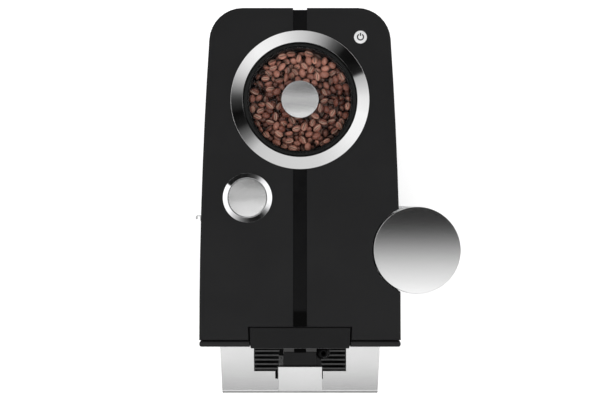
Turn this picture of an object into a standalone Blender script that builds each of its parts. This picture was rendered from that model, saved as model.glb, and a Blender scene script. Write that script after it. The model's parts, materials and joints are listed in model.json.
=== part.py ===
# Bean to cup coffee machine
#
# A compact countertop machine that grinds and brews. X points to the machine's right as its user
# faces it, Y to its rear wall and Z up. The origin is on the counter, under the middle of the
# machine's bounding box. Lengths are in metres.

import math

import bmesh
import bpy
from mathutils import Matrix
from mathutils import Vector

MM = 0.001

# Whole machine
DEPTH = 449.4 * MM               # rear wall to the nose of the drip tray
TRAY_DEPTH = 95.7 * MM           # face of the front panel to the nose of the drip tray
HEIGHT = 323.0 * MM              # counter to the rim of the lid knob
FRONT_HALF_WIDTH = 105.2 * MM    # half the housing's width at the front panel
SIDE_DRAW_IN = 10.35 * MM        # how far each side curves in by the rear corner
REAR_CORNER_R = 35.0 * MM        # rounding of the rear corners, seen from above
WALL = 2.5 * MM                  # moulded walls
GAP = 0.3 * MM                   # between pieces that rest on or lie in each other
OVERRUN = 2.0 * MM               # how far a cutter runs past what it cuts

# Base and feet
FOOT_R = 9.0 * MM
FOOT_HEIGHT = 4.0 * MM
FOOT_ROUND = 1.0 * MM
FOOT_FRONT_X = 80.0 * MM
FOOT_REAR_X = 62.0 * MM
FOOT_FROM_FRONT = 26.0 * MM      # tray nose to the front feet
FOOT_FROM_REAR = 32.0 * MM       # rear wall to the rear feet
BASE_THICK = 3.0 * MM
BASE_INSET = 1.5 * MM            # base edge inside the housing's outline
LOBE_STEP = 0.2 * MM             # the round lobe under the tank lies this much lower
TONGUE_HALF_WIDTH = 96.0 * MM    # the part of the base under the drip tray
TONGUE_SET_BACK = 6.0 * MM       # base edge behind the tray nose

# Top cover
KNOB_PROUD = 9.0 * MM            # lid knob's rim above the top cover
COVER_HEIGHT = 12.0 * MM
COVER_THICK = 3.0 * MM
COVER_ROUND = 1.2 * MM
STRIP_HALF_WIDTH = 7.0 * MM      # glossy centre strip
STRIP_DEPTH = 1.6 * MM
STRIP_SUNK = 0.4 * MM            # strip's face below the cover
STRIP_NOTCH = 2.3 * MM           # how deep the rear edge is notched at the channel's end

# Front panel and display head
PANEL_THICK = 6.0 * MM
PANEL_ROUND = 2.0 * MM
GROOVE = 0.9 * MM                # shadow line between the cover and the panel
HEAD_HALF_WIDTH = 53.0 * MM      # at the rear
HEAD_TAPER = 0.7 * MM            # how much less at the front
HEAD_DEPTH = 22.2 * MM
HEAD_PROUD = 1.6 * MM            # head's face in front of the panel
HEAD_HEIGHT = 56.0 * MM
HEAD_WALL = 6.0 * MM
HEAD_CORNER = 1.0 * MM           # how far the head's front corners are cut in
HEAD_CORNER_RUN = 4.5 * MM       # how far behind its face that cut starts
HEAD_ROUND = 1.2 * MM
HEAD_SEAM = 0.6 * MM             # seam round the display head
GLASS_HALF_WIDTH = 30.0 * MM
GLASS_HEIGHT = 42.0 * MM
GLASS_THICK = 1.5 * MM
KEY_X = 38.5 * MM                # middle of a key column
KEY_WIDTH = 12.0 * MM
KEY_HEIGHT = 8.0 * MM
KEY_PITCH = 14.0 * MM
KEY_PROUD = 1.2 * MM
KEY_FLANGE = 0.9 * MM            # how far the rear flange overlaps the wall
KEY_FLANGE_THICK = 1.2 * MM
KEY_ROUND = 1.0 * MM
KEY_ROWS = 3

# Bean container
HOPPER_FROM_REAR = 96.1 * MM
RING_WIDTH = 13.1 * MM
RING_HEIGHT = 5.4 * MM
RING_CHAMFER = 2.0 * MM
RING_FALL = 1.0 * MM             # how much lower the ring is at its outer edge
BOWL_R = 55.5 * MM
BOWL_FLANGE = 3.6 * MM            # flange past the bowl, up to the ring
BOWL_FLANGE_THICK = 1.5 * MM
BOWL_WALL = 2.0 * MM
BOWL_STRAIGHT = 22.0 * MM        # straight side before the cone starts
BOWL_DEPTH = 70.0 * MM
THROAT_R = 21.5 * MM
THROAT_HEIGHT = 12.0 * MM
THROAT_LIP = 3.0 * MM
LID_SIDE_GAP = 0.5 * MM          # lid inside the ring
LID_RIM_WIDTH = 4.0 * MM
LID_LEDGE_WIDTH = 2.2 * MM       # the window rests on this ledge
LID_LEDGE_THICK = 1.2 * MM
LID_RIM_HEIGHT = 3.4 * MM
WINDOW_THICK = 1.8 * MM
KNOB_R = 19.2 * MM
KNOB_DISH = 1.6 * MM
KNOB_STEM_R = 5.0 * MM
KNOB_EDGE = 0.8 * MM
KNOB_MID_SHARE = 0.55            # place and depth of the dish's middle ring
DISH_MID_SHARE = 0.75
BEANS_BELOW_LID = 3.5 * MM       # bean crown below the lid's ledge
BEANS_CROWN = 3.0 * MM
BEANS_MID_SHARE = 0.6            # where the bean heap starts to fall away
DIAL_HEIGHT = 8.0 * MM
DIAL_BORE_R = 12.0 * MM
DIAL_RIB = 0.9 * MM
DIAL_RIBS = 15

# Grinder
CHAMBER_R = 35.0 * MM
CHAMBER_HEIGHT = 36.0 * MM
CHAMBER_WALL = 3.5 * MM
BURR_THICK = 9.0 * MM
BURR_BORE_R = 13.0 * MM
BURR_LEDGE = 3.0 * MM
BURR_GAP = 0.6 * MM
BURR_TEETH = 20
BURR_TOOTH = 1.4 * MM
BURR_TWIST = math.radians(18.0)
BURR_TOP_SHARE = 0.9             # the lower burr narrows to this share at its top
SHAFT_R = 4.0 * MM
SHAFT_CLEARANCE = 0.5 * MM
SHAFT_INTO_MOTOR = 6.0 * MM
MOTOR_R = 27.0 * MM
MOTOR_ROUND = 3.0 * MM
CHUTE_R = 8.0 * MM
CHUTE_WALL = 1.5 * MM
CHUTE_DROP = 12.3 * MM

# Power button
POWER_X = 63.0 * MM
POWER_FROM_REAR = 30.6 * MM
POWER_R = 6.7 * MM
POWER_PROUD = 0.8 * MM
POWER_FLANGE = 1.2 * MM
POWER_FLANGE_THICK = 1.2 * MM
POWER_ROUND = 0.6 * MM

# Ground-coffee filler
FILLER_X = -54.7 * MM
FILLER_FROM_REAR = 198.1 * MM
FILLER_RING_R = 25.7 * MM
FILLER_DISC_R = 20.1 * MM
FILLER_RING_HEIGHT = 4.4 * MM
FILLER_CHAMFER = 1.8 * MM
FILLER_DISC_THICK = 2.2 * MM
FILLER_HINGE_HEIGHT = 2.8 * MM   # hinge axis above the top cover
FUNNEL_R = 18.0 * MM
FUNNEL_FLANGE_THICK = 1.2 * MM
FUNNEL_FLANGE = 1.8 * MM
FUNNEL_STRAIGHT = 14.0 * MM
FUNNEL_CONE = 30.0 * MM
FUNNEL_TUBE_R = 9.5 * MM
FUNNEL_WALL = 1.5 * MM

# Water tank
BAY_SIDE_GAP = 2.2 * MM          # between the inner frame and the wall of the tank's bay
TANK_FROM_FRONT = 100.9 * MM     # tank axis behind the face of the front panel
TANK_LID_R = 45.9 * MM
TANK_LID_HEIGHT = 8.0 * MM
TANK_LID_SKIN = 2.0 * MM
TANK_LID_BEVEL = 1.0 * MM
TANK_PLUG_DEPTH = 4.0 * MM
TANK_LID_EDGE = 0.9 * MM         # lid past the tank's flutes
TANK_WALL = 2.0 * MM
TANK_FLOOR = 3.0 * MM
TANK_FLUTES = 36
TANK_FLUTE_DEPTH = 0.8 * MM
TANK_LID_RISE = 0.6 * MM         # tank lid above the top cover
BAY_CLEARANCE = 1.1 * MM
DOCK_STEP = 1.6 * MM             # dock's edge inside the tank's
DOCK_HEIGHT = 50.0 * MM
DOCK_ROUND = 1.5 * MM
SPIGOT_R = 4.0 * MM
SPIGOT_HEIGHT = 1.6 * MM
VALVE_HOLE_R = 7.0 * MM
VALVE_STEM_R = 5.5 * MM
VALVE_R = 11.0 * MM
VALVE_HEIGHT = 5.0 * MM
NIPPLE_R = 4.0 * MM
NIPPLE_HEIGHT = 9.0 * MM         # nipple axis above the dock's underside
NIPPLE_PAST_WALL = 6.9 * MM
NIPPLE_TURN = math.radians(135.0)

# Milk hose hook
CLIP_REACH = 9.0 * MM
CLIP_FROM_REAR = 219.6 * MM
CLIP_HALF_WIDTH = 3.2 * MM
CLIP_THICK = 2.0 * MM
CLIP_HEIGHT = 9.0 * MM
CLIP_BELOW_TOP = 26.0 * MM
CLIP_ROUND = 0.5 * MM

# Coffee spout
SPOUT_TOP = 200.0 * MM           # top of the spout at its lowest place
SPOUT_HALF_WIDTH = 19.0 * MM
SPOUT_BACK_GAP = 6.6 * MM        # front panel to the back of the spout body
SPOUT_BODY_DEPTH = 31.05 * MM
SPOUT_BODY_HEIGHT = 70.0 * MM
SPOUT_ROUND = 1.5 * MM
SPOUT_SLOPE_RUN = 15.2 * MM      # slope at the rear of the body's top
SPOUT_SLOPE_FALL = 11.0 * MM
WING_HALF_WIDTH = 24.4 * MM      # the body's wider front part, behind the silver cover
WING_DEPTH = 11.5 * MM
WING_BELOW_TOP = 3.0 * MM
WING_ABOVE_LOW = 2.0 * MM
SPOUT_COVER_HALF_WIDTH = 25.3 * MM
SPOUT_COVER_DEPTH = 28.9 * MM
SPOUT_COVER_HEIGHT = 72.0 * MM
SPOUT_COVER_WALL = 3.0 * MM
SPOUT_COVER_ROUND = 1.8 * MM
SPOUT_COVER_RISE = 0.6 * MM
RAIL_HALF_WIDTH = 6.6 * MM
RAIL_NECK = 3.4 * MM
RAIL_HEAD_DEPTH = 4.0 * MM
RAIL_DEPTH = 14.1 * MM
RAIL_LOW = 128.0 * MM
RAIL_BELOW_HEAD = 3.0 * MM
RAIL_CLEARANCE = 0.4 * MM
NOZZLE_X = 10.0 * MM
NOZZLE_R = 5.0 * MM
NOZZLE_BORE_R = 3.4 * MM
NOZZLE_LENGTH = 13.7 * MM
NOZZLE_PEG = 6.0 * MM            # how far a nozzle reaches up into the spout body
NOZZLE_SET_BACK = 8.0 * MM       # nozzle axis behind the front of the spout body
MILK_R = 7.6 * MM
MILK_SET_BACK = 14.75 * MM       # connector axis behind the front of the spout body
MILK_HEIGHT = 52.0 * MM
MILK_NECK_R = 5.4 * MM
MILK_NECK_HEIGHT = 7.0 * MM
MILK_BORE_R = 2.4 * MM
MILK_RISE = 2.5 * MM             # connector's top above the spout body
MILK_PEG = 5.0 * MM              # how far the connector reaches down into its lug
MILK_SEAT_GAP = 0.6 * MM         # round the connector, where it stands in the wing
LUG_HEIGHT = 10.0 * MM
LUG_STEP = 0.3 * MM              # between the levels of the lug, its web and the wing

# Drip tray
TRAY_HALF_REAR = 104.0 * MM
TRAY_HALF_FRONT = 99.7 * MM
TRAY_TOP = 60.0 * MM
TRAY_NOSE_Z = 55.2 * MM
TRAY_CURVE_RUN = 5.0 * MM        # how far behind the nose the top starts to curve down
TRIM_WALL = 2.0 * MM
TRIM_LIFT = 1.0 * MM             # lower edge of the shell above the base
PAN_SIDE_GAP = 4.5 * MM
PAN_NOSE_GAP = 3.5 * MM
PAN_WALL = 2.0 * MM
PAN_HEIGHT = 36.0 * MM
NECK_HALF_WIDTH = 66.0 * MM      # the tray's part that runs into the housing
NECK_LENGTH = 123.0 * MM
NECK_SHOULDER = 4.0 * MM         # from the panel's face to the pan's shoulder
GRILLE_HALF_WIDTH = 58.6 * MM
GRILLE_DEPTH = 65.6 * MM
GRILLE_THICK = 3.0 * MM
GRILLE_FRAME_THICK = 1.4 * MM    # frame and rib under the bars
GRILLE_BORDER = 3.0 * MM
GRILLE_RIB = 4.0 * MM            # rib under the middle of the bars
GRILLE_PITCH = 5.64 * MM
GRILLE_BAR = 2.05 * MM
GRILLE_FRONT_SLOT = 1.93 * MM    # groove in front of the first bar
GRILLE_STEP = 0.2 * MM           # slots in the frame are this much narrower at each bar
LEDGE_WIDTH = 3.0 * MM
LEDGE_THICK = 2.5 * MM
FINGER_HALF_WIDTH = 30.4 * MM    # finger recess in front of the grille
FINGER_DEPTH = 9.9 * MM
FINGER_SHIFT = -1.3 * MM         # recess's middle from the machine's

# Grounds container
GROUNDS_SIDE_GAP = 2.0 * MM
GROUNDS_REAR_GAP = 2.5 * MM
GROUNDS_WALL = 2.0 * MM
GROUNDS_TOP = 113.2 * MM
DOOR_MARGIN = 0.9 * MM           # door edge past the neck of the tray

# Inner frame
FRAME_WALL = 2.2 * MM
FRAME_SIDE_GAP = 1.5 * MM
SHELF_LOW = 115.5 * MM
SHELF_THICK = 2.5 * MM
SHELF_INSET = 0.5 * MM
DROP_HALF_WIDTH = 26.0 * MM      # hole that the spent coffee falls through
DROP_DEPTH = 48.0 * MM
DROP_SHIFT = 22.0 * MM           # drop hole's middle, right of the brew unit's
BACK_PLATE_HALF_WIDTH = 36.0 * MM
BACK_PLATE_SHIFT = 12.0 * MM

# Brew unit
BREW_R = 27.0 * MM
BREW_BORE_R = 24.0 * MM
BREW_SHARE = 0.556               # of the room from the shelf to the chute, the rest is under it
PISTON_CLEARANCE = 0.5 * MM
PISTON_THICK = 9.0 * MM
PISTON_ROD_R = 6.0 * MM
PISTON_ARM_THICK = 4.5 * MM
PISTON_ARM_HALF_WIDTH = 7.0 * MM
PISTON_ARM_LIFT = 0.6 * MM
SPINDLE_X = 38.0 * MM            # spindle axis from the cylinder axis
SPINDLE_R = 4.0 * MM
SPINDLE_CLEARANCE = 0.4 * MM
SPINDLE_GEAR_R = 11.0 * MM
SPINDLE_GEAR_THICK = 4.5 * MM
SPINDLE_TEETH = 16
SPINDLE_TOOTH = 1.5 * MM
SPINDLE_BELOW_TOP = 8.7 * MM     # rod's end under the cylinder's upper edge

# Pump, heater, board, inlet
PUMP_X = 45.0 * MM
PUMP_BEHIND_NECK = 44.3 * MM     # pump's front end behind the neck of the drip tray
PUMP_LENGTH = 70.0 * MM
PUMP_R = 20.0 * MM
PUMP_AXIS_Z = 36.0 * MM
PUMP_FOOT_HALF_WIDTH = 12.0 * MM
PUMP_BORE_R = 8.0 * MM
PLUNGER_R = 7.6 * MM
PLUNGER_LENGTH = 50.0 * MM
PLUNGER_SET_IN = 8.0 * MM
HEATER_X = 40.0 * MM
HEATER_BEFORE_MOTOR = 12.4 * MM
HEATER_WIDTH = 60.0 * MM
HEATER_DEPTH = 60.0 * MM
HEATER_HEIGHT = 46.0 * MM
HEATER_ROUND = 6.0 * MM
BOARD_WIDTH = 100.0 * MM
BOARD_HEIGHT = 90.0 * MM
BOARD_THICK = 1.6 * MM
BOARD_LOW = 140.0 * MM
POST_R = 3.0 * MM
POST_LENGTH = 6.0 * MM
POST_MARGIN = 8.0 * MM
INLET_X = -46.0 * MM
INLET_LOW = 18.0 * MM
INLET_WIDTH = 30.0 * MM
INLET_HEIGHT = 24.0 * MM
INLET_DEPTH = 24.0 * MM
INLET_WALL = 3.0 * MM
SOCKET_DEPTH = 18.0 * MM
PIN_LENGTH = 12.0 * MM
PIN_WIDTH = 2.0 * MM
PIN_HEIGHT = 5.0 * MM
PIN_PITCH = 7.0 * MM
HOSE_R = 3.0 * MM
HOSE_HOLE_BEHIND = 14.3 * MM      # hose hole behind the pump and the heater
HOSE_LEAD = 10.0 * MM            # how far a hose runs straight out of its port
HOSE_STEPS = 3                   # points read from the curve between two of its own

# Air vents in the rear wall
VENTS = 13
VENT_PITCH = 7.0 * MM
VENT_WIDTH = 2.6 * MM
VENT_HEIGHT = 34.0 * MM
VENT_BELOW_TOP = 21.7 * MM

# How finely round forms are divided
FINE = 44
ROUND = 32
MEDIUM = 24
SMALL = 16
TINY = 12
SIDE_POINTS = 7
CORNER_POINTS = 8
CURVE_POINTS = 8
BEVEL_FROM_ANGLE = math.radians(50.0)
SMOOTH_BELOW_ANGLE = math.radians(35.0)
FLAT_ANGLE = math.radians(0.05)
WELD = 0.01 * MM                 # points nearer than this are one

# Places that follow from the sizes
BODY_DEPTH = DEPTH - TRAY_DEPTH
REAR_Y = DEPTH / 2
FRONT_Y = REAR_Y - BODY_DEPTH
NOSE_Y = -DEPTH / 2
PANEL_BACK_Y = FRONT_Y + PANEL_THICK
HOUSING_FRONT_Y = PANEL_BACK_Y + GAP
COVER_FRONT_Y = PANEL_BACK_Y + GROOVE
CORNER_Y = REAR_Y - REAR_CORNER_R
SIDE_LEAN = math.atan(2 * SIDE_DRAW_IN / (CORNER_Y - PANEL_BACK_Y))


def side_half_width(y):
    """Half the housing's width at y: widest at the front, drawn in towards the rear."""
    run = max((y - PANEL_BACK_Y) / (CORNER_Y - PANEL_BACK_Y), 0)
    return FRONT_HALF_WIDTH - SIDE_DRAW_IN * run * run


BAY_R = TANK_LID_R + BAY_CLEARANCE
TANK_R = TANK_LID_R - TANK_LID_EDGE
DOCK_R = TANK_R - DOCK_STEP
NIPPLE_REACH = BAY_R + WALL + NIPPLE_PAST_WALL
FRAME_INNER = NECK_HALF_WIDTH + DOOR_MARGIN + FRAME_SIDE_GAP
FRAME_OUTER = FRAME_INNER + FRAME_WALL
TANK_OFFSET_X = FRAME_OUTER + BAY_SIDE_GAP + WALL + BAY_R
CLIP_Y = REAR_Y - CLIP_FROM_REAR
LEFT_REACH = side_half_width(CLIP_Y) + CLIP_REACH
RIGHT_REACH = TANK_OFFSET_X + TANK_LID_R
BODY_X = (LEFT_REACH - RIGHT_REACH) / 2
TANK_X = BODY_X + TANK_OFFSET_X
TANK_Y = FRONT_Y + TANK_FROM_FRONT
RING_INNER_R = BOWL_R + BOWL_FLANGE
RING_R = RING_INNER_R + RING_WIDTH
LID_RIM_R = RING_INNER_R - LID_SIDE_GAP
LID_RIM_INNER_R = LID_RIM_R - LID_RIM_WIDTH
LID_LEDGE_R = LID_RIM_INNER_R - LID_LEDGE_WIDTH
HOPPER_X = BODY_X
HOPPER_Y = REAR_Y - HOPPER_FROM_REAR
FILLER_AXIS_X = BODY_X + FILLER_X
FILLER_Y = REAR_Y - FILLER_FROM_REAR

BASE_LOW = FOOT_HEIGHT + GAP
BASE_TOP = BASE_LOW + BASE_THICK
FLOOR_Z = BASE_TOP + GAP
COVER_TOP = HEIGHT - KNOB_PROUD
COVER_LOW = COVER_TOP - COVER_HEIGHT
COVER_INNER_Z = COVER_TOP - COVER_THICK
HOUSING_TOP = COVER_LOW - GAP
SEAT_Z = COVER_TOP + GAP
RAIL_TOP = COVER_TOP - HEAD_HEIGHT - RAIL_BELOW_HEAD
VENT_LOW = HOUSING_TOP - VENT_BELOW_TOP - VENT_HEIGHT
SHELF_TOP = SHELF_LOW + SHELF_THICK
SHELF_SEAT_Z = SHELF_TOP + GAP

# Finishes: colour, roughness, metallic
SATIN_BLACK = ((0.017, 0.017, 0.019), 0.42, 0.0)
GLOSS_BLACK = ((0.006, 0.006, 0.007), 0.08, 0.0)
DARK_GREY = ((0.030, 0.030, 0.033), 0.45, 0.0)
SATIN_METAL = ((0.62, 0.62, 0.62), 0.32, 1.0)
POLISHED = ((0.82, 0.82, 0.82), 0.08, 1.0)
SILVER_PAINT = ((0.66, 0.66, 0.67), 0.35, 0.6)
CLEAR = ((0.80, 0.86, 0.90), 0.05, 0.0)
COFFEE = ((0.10, 0.035, 0.020), 0.35, 0.0)
PALE_PLASTIC = ((0.75, 0.75, 0.76), 0.35, 0.0)
STEEL = ((0.50, 0.50, 0.52), 0.30, 1.0)
RUBBER = ((0.020, 0.020, 0.020), 0.80, 0.0)
BOARD_GREEN = ((0.02, 0.14, 0.06), 0.50, 0.0)
WHITE_HOSE = ((0.70, 0.70, 0.68), 0.40, 0.0)


# Scene and tools

for leftover in list(bpy.data.objects):
    bpy.data.objects.remove(leftover)

PARTS = bpy.data.collections.new("bean_to_cup_coffee_machine")
CUTTERS = bpy.data.collections.new("cutters")
bpy.context.scene.collection.children.link(PARTS)
bpy.context.scene.collection.children.link(CUTTERS)


def add(name, mesh, finish=None):
    """Put a mesh in the scene as a part with its finish, or as a hidden cutter without one."""
    obj = bpy.data.objects.new(name, mesh)
    if finish is None:
        CUTTERS.objects.link(obj)
        obj.hide_render = True
        obj.display_type = "WIRE"
        return obj
    PARTS.objects.link(obj)
    colour, roughness, metallic = finish
    material = bpy.data.materials.new(name + "_finish")
    material.use_nodes = True
    shader = material.node_tree.nodes["Principled BSDF"]
    shader.inputs["Base Color"].default_value = (*colour, 1.0)
    shader.inputs["Roughness"].default_value = roughness
    shader.inputs["Metallic"].default_value = metallic
    mesh.materials.append(material)
    return obj


def finished_mesh(bm, name):
    """Close a bmesh into a mesh with its faces pointing out."""
    bmesh.ops.recalc_face_normals(bm, faces=bm.faces)
    mesh = bpy.data.meshes.new(name)
    bm.to_mesh(mesh)
    bm.free()
    return mesh


def block(name, low, high, finish=None, rounding=0.0, segments=2):
    """A box between two corners, its edges rounded when asked."""
    bm = bmesh.new()
    bmesh.ops.create_cube(bm, size=1.0)
    size = Vector(high) - Vector(low)
    centre = (Vector(high) + Vector(low)) / 2
    bmesh.ops.scale(bm, verts=bm.verts, vec=size)
    bmesh.ops.translate(bm, verts=bm.verts, vec=centre)
    obj = add(name, finished_mesh(bm, name), finish)
    if rounding:
        soften(obj, rounding, segments)
    return obj


def soften(obj, width, segments=2):
    """Round the sharp edges of a piece."""
    bevel = obj.modifiers.new("round", "BEVEL")
    bevel.width = width
    bevel.segments = segments
    bevel.limit_method = "ANGLE"
    bevel.angle_limit = BEVEL_FROM_ANGLE


def cylinder(name, x, y, low, high, radius, finish=None, steps=SMALL, top_radius=None):
    """An upright cylinder or cone."""
    bm = bmesh.new()
    top = radius if top_radius is None else top_radius
    bmesh.ops.create_cone(
        bm, cap_ends=True, segments=steps, radius1=radius, radius2=top, depth=high - low)
    bmesh.ops.translate(bm, verts=bm.verts, vec=(x, y, (low + high) / 2))
    return add(name, finished_mesh(bm, name), finish)


def lying_cylinder(name, start, end, radius, finish=None, steps=SMALL):
    """A cylinder between two points."""
    start = Vector(start)
    end = Vector(end)
    bm = bmesh.new()
    bmesh.ops.create_cone(
        bm, cap_ends=True, segments=steps, radius1=radius, radius2=radius,
        depth=(end - start).length)
    turn = (end - start).to_track_quat("Z", "Y").to_matrix().to_4x4()
    bmesh.ops.transform(bm, verts=bm.verts, matrix=Matrix.Translation((start + end) / 2) @ turn)
    return add(name, finished_mesh(bm, name), finish)


def mesh_of_curve(obj, name):
    """The closed mesh of a curve object, with its caps welded; the curve is removed."""
    CUTTERS.objects.link(obj)
    bpy.context.view_layer.update()
    graph = bpy.context.evaluated_depsgraph_get()
    mesh = bpy.data.meshes.new_from_object(obj.evaluated_get(graph))
    mesh.transform(obj.matrix_world)
    bm = bmesh.new()
    bm.from_mesh(mesh)
    bpy.data.meshes.remove(mesh)
    curve = obj.data
    bpy.data.objects.remove(obj)
    bpy.data.curves.remove(curve)
    bmesh.ops.remove_doubles(bm, verts=bm.verts, dist=WELD)
    bmesh.ops.dissolve_limit(bm, angle_limit=FLAT_ANGLE, verts=bm.verts, edges=bm.edges)
    return finished_mesh(bm, name)


def flat_shape(name, outlines, low, high, finish=None):
    """Outlines in plan, the later ones being holes, thickened from low to high."""
    curve = bpy.data.curves.new(name, "CURVE")
    curve.dimensions = "2D"
    curve.fill_mode = "BOTH"
    curve.extrude = (high - low) / 2
    for outline in outlines:
        spline = curve.splines.new("POLY")
        spline.points.add(len(outline) - 1)
        spline.use_cyclic_u = True
        for point, place in zip(spline.points, outline):
            point.co = (place[0], place[1], 0, 1)
    obj = bpy.data.objects.new(name, curve)
    obj.location.z = (low + high) / 2
    return add(name, mesh_of_curve(obj, name), finish)


def side_shape(name, outline, left, right, finish=None):
    """An outline in Y and Z, thickened along X from left to right."""
    obj = flat_shape(name, [outline], left, right, finish)
    turn = Matrix(((0, 0, 1, 0), (1, 0, 0, 0), (0, 1, 0, 0), (0, 0, 0, 1)))
    obj.data.transform(turn)
    return obj


def turned(name, x, y, profile, finish=None, steps=ROUND, closed=True):
    """A profile of (radius, height) turned about an upright axis at x, y.

    The profile runs down its outer side. A closed one makes a ring, and an open one starts and
    ends on the axis.
    """
    mesh = bpy.data.meshes.new(name)
    points = [(radius, 0, height) for radius, height in profile]
    edges = [(i, i + 1) for i in range(len(points) - 1)]
    if closed:
        edges.append((len(points) - 1, 0))
    mesh.from_pydata(points, edges, [])
    obj = add(name, mesh, finish)
    obj.location = (x, y, 0)
    screw = obj.modifiers.new("turn", "SCREW")
    screw.axis = "Z"
    screw.angle = math.tau
    screw.steps = steps
    screw.render_steps = steps
    screw.use_merge_vertices = True
    screw.merge_threshold = WELD
    return obj


def tube_route(name, points, radius, finish=None, rings=1):
    """A round rod along a route."""
    curve = bpy.data.curves.new(name, "CURVE")
    curve.dimensions = "3D"
    curve.bevel_depth = radius
    curve.bevel_resolution = rings
    curve.use_fill_caps = True
    spline = curve.splines.new("POLY")
    spline.points.add(len(points) - 1)
    for point, place in zip(spline.points, points):
        point.co = (*place, 1)
    return add(name, mesh_of_curve(bpy.data.objects.new(name, curve), name), finish)


def smooth_route(points, between):
    """Points read from one smooth curve through a route's points, straight at both its ends."""
    route = [Vector(point) for point in points]
    result = [route[0]]
    for i in range(1, len(route) - 2):
        for step in range(between):
            t = step / between
            before, start, end, after = route[i - 1:i + 3]
            result.append(0.5 * (2 * start + (end - before) * t
                                 + (2 * before - 5 * start + 4 * end - after) * t * t
                                 + (3 * start - before - 3 * end + after) * t * t * t))
    result += route[-2:]
    return result


def boolean(obj, other, operation):
    """Combine a piece with another solid, which becomes a hidden cutter."""
    other.hide_render = True
    other.display_type = "WIRE"
    step = obj.modifiers.new(other.name, "BOOLEAN")
    step.operation = operation
    step.solver = "EXACT"
    step.object = other
    return obj


def cut(obj, *cutters):
    for cutter in cutters:
        boolean(obj, cutter, "DIFFERENCE")
    return obj


def fuse(obj, *pieces):
    for piece in pieces:
        boolean(obj, piece, "UNION")
    return obj


def round_rim(obj, level, width, segments=2):
    """Round the edges that lie at one height of a piece."""
    bm = bmesh.new()
    bm.from_mesh(obj.data)
    rim = [edge for edge in bm.edges
           if all(abs(vert.co.z - level) < WELD for vert in edge.verts)
           and len(edge.link_faces) == 2 and edge.calc_face_angle() > FLAT_ANGLE]
    bmesh.ops.bevel(bm, geom=rim, offset=width, segments=segments, profile=0.5, affect="EDGES",
                    material=-1)
    bm.to_mesh(obj.data)
    bm.free()


def hang_on(obj, x, y, z):
    """Put a piece's origin on its joint's axis."""
    obj.data.transform(Matrix.Translation((-x, -y, -z)))
    obj.location = (x, y, z)
    return obj


def body_outline(inset, front_y):
    """Plan of the housing, drawn in by inset at its sides and rear and cut straight in front."""
    radius = REAR_CORNER_R - inset
    end_y = CORNER_Y + radius * math.sin(SIDE_LEAN)
    centre_x = side_half_width(end_y) - REAR_CORNER_R * math.cos(SIDE_LEAN)
    right = []
    for i in range(SIDE_POINTS):
        y = front_y + (end_y - front_y) * i / SIDE_POINTS
        right.append((side_half_width(y) - inset, y))
    for i in range(CORNER_POINTS + 1):
        angle = SIDE_LEAN + (math.pi / 2 - SIDE_LEAN) * i / CORNER_POINTS
        right.append((centre_x + radius * math.cos(angle), CORNER_Y + radius * math.sin(angle)))
    left = [(-x, y) for x, y in reversed(right)]
    return [(BODY_X + x, y) for x, y in right + left]


def star(x, y, radius, depth, count):
    """A ring of points alternating between two radii, for teeth, ribs and flutes."""
    points = []
    for i in range(2 * count):
        reach = radius - depth * (i % 2)
        angle = math.pi * i / count
        points.append((x + reach * math.cos(angle), y + reach * math.sin(angle)))
    return points


# Base, feet and housing

def make_base():
    base = flat_shape("base_plate", [body_outline(BASE_INSET, FRONT_Y)], BASE_LOW, BASE_TOP,
                      DARK_GREY)
    fuse(base, block("base_tongue",
                     (BODY_X - TONGUE_HALF_WIDTH, NOSE_Y + TONGUE_SET_BACK, BASE_LOW - LOBE_STEP),
                     (BODY_X + TONGUE_HALF_WIDTH, FRONT_Y + OVERRUN, BASE_TOP - LOBE_STEP)))
    lobe = cylinder("base_lobe", TANK_X, TANK_Y, BASE_LOW - LOBE_STEP, BASE_TOP - LOBE_STEP,
                    DOCK_R, steps=FINE)
    fuse(base, lobe)


def make_feet():
    front_y = NOSE_Y + FOOT_FROM_FRONT
    rear_y = REAR_Y - FOOT_FROM_REAR
    places = {"foot_front_left": (-FOOT_FRONT_X, front_y), "foot_front_right": (FOOT_FRONT_X, front_y),
              "foot_rear_left": (-FOOT_REAR_X, rear_y), "foot_rear_right": (FOOT_REAR_X, rear_y)}
    profile = [(0, FOOT_HEIGHT), (FOOT_R, FOOT_HEIGHT), (FOOT_R, FOOT_ROUND),
               (FOOT_R - FOOT_ROUND, 0), (0, 0)]
    for name, (x, y) in places.items():
        turned(name, BODY_X + x, y, profile, RUBBER, TINY, closed=False)


def bay_cutter(name, wall, low, high):
    """The round bay for the water tank, widened by a wall where one is given."""
    return cylinder(name, TANK_X, TANK_Y, low - OVERRUN, high + OVERRUN, BAY_R + wall, steps=FINE)


def make_housing():
    low = FLOOR_Z
    high = HOUSING_TOP
    housing = flat_shape("housing_shell", [body_outline(0, HOUSING_FRONT_Y)], low, high, SATIN_BLACK)
    inside = flat_shape("housing_inside", [body_outline(WALL, HOUSING_FRONT_Y - OVERRUN)],
                        low - OVERRUN, high + OVERRUN)
    cut(inside, bay_cutter("housing_bay_wall", WALL, low - OVERRUN, high + OVERRUN))
    cut(housing, inside, bay_cutter("housing_bay", 0, low, high))
    inlet_x = BODY_X + INLET_X
    cut(housing, block("inlet_hole",
                       (inlet_x - INLET_WIDTH / 2 - GAP, REAR_Y - INLET_DEPTH, INLET_LOW - GAP),
                       (inlet_x + INLET_WIDTH / 2 + GAP, REAR_Y + OVERRUN,
                        INLET_LOW + INLET_HEIGHT + GAP)))
    nipple_z = FLOOR_Z + NIPPLE_HEIGHT
    towards = Vector((math.cos(NIPPLE_TURN), math.sin(NIPPLE_TURN), 0))
    axis = Vector((TANK_X, TANK_Y, nipple_z))
    cut(housing, lying_cylinder("nipple_hole", axis + towards * (BAY_R - OVERRUN),
                                axis + towards * (BAY_R + WALL + OVERRUN), NIPPLE_R + GAP,
                                steps=TINY))
    cut(housing, make_vents())


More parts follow.
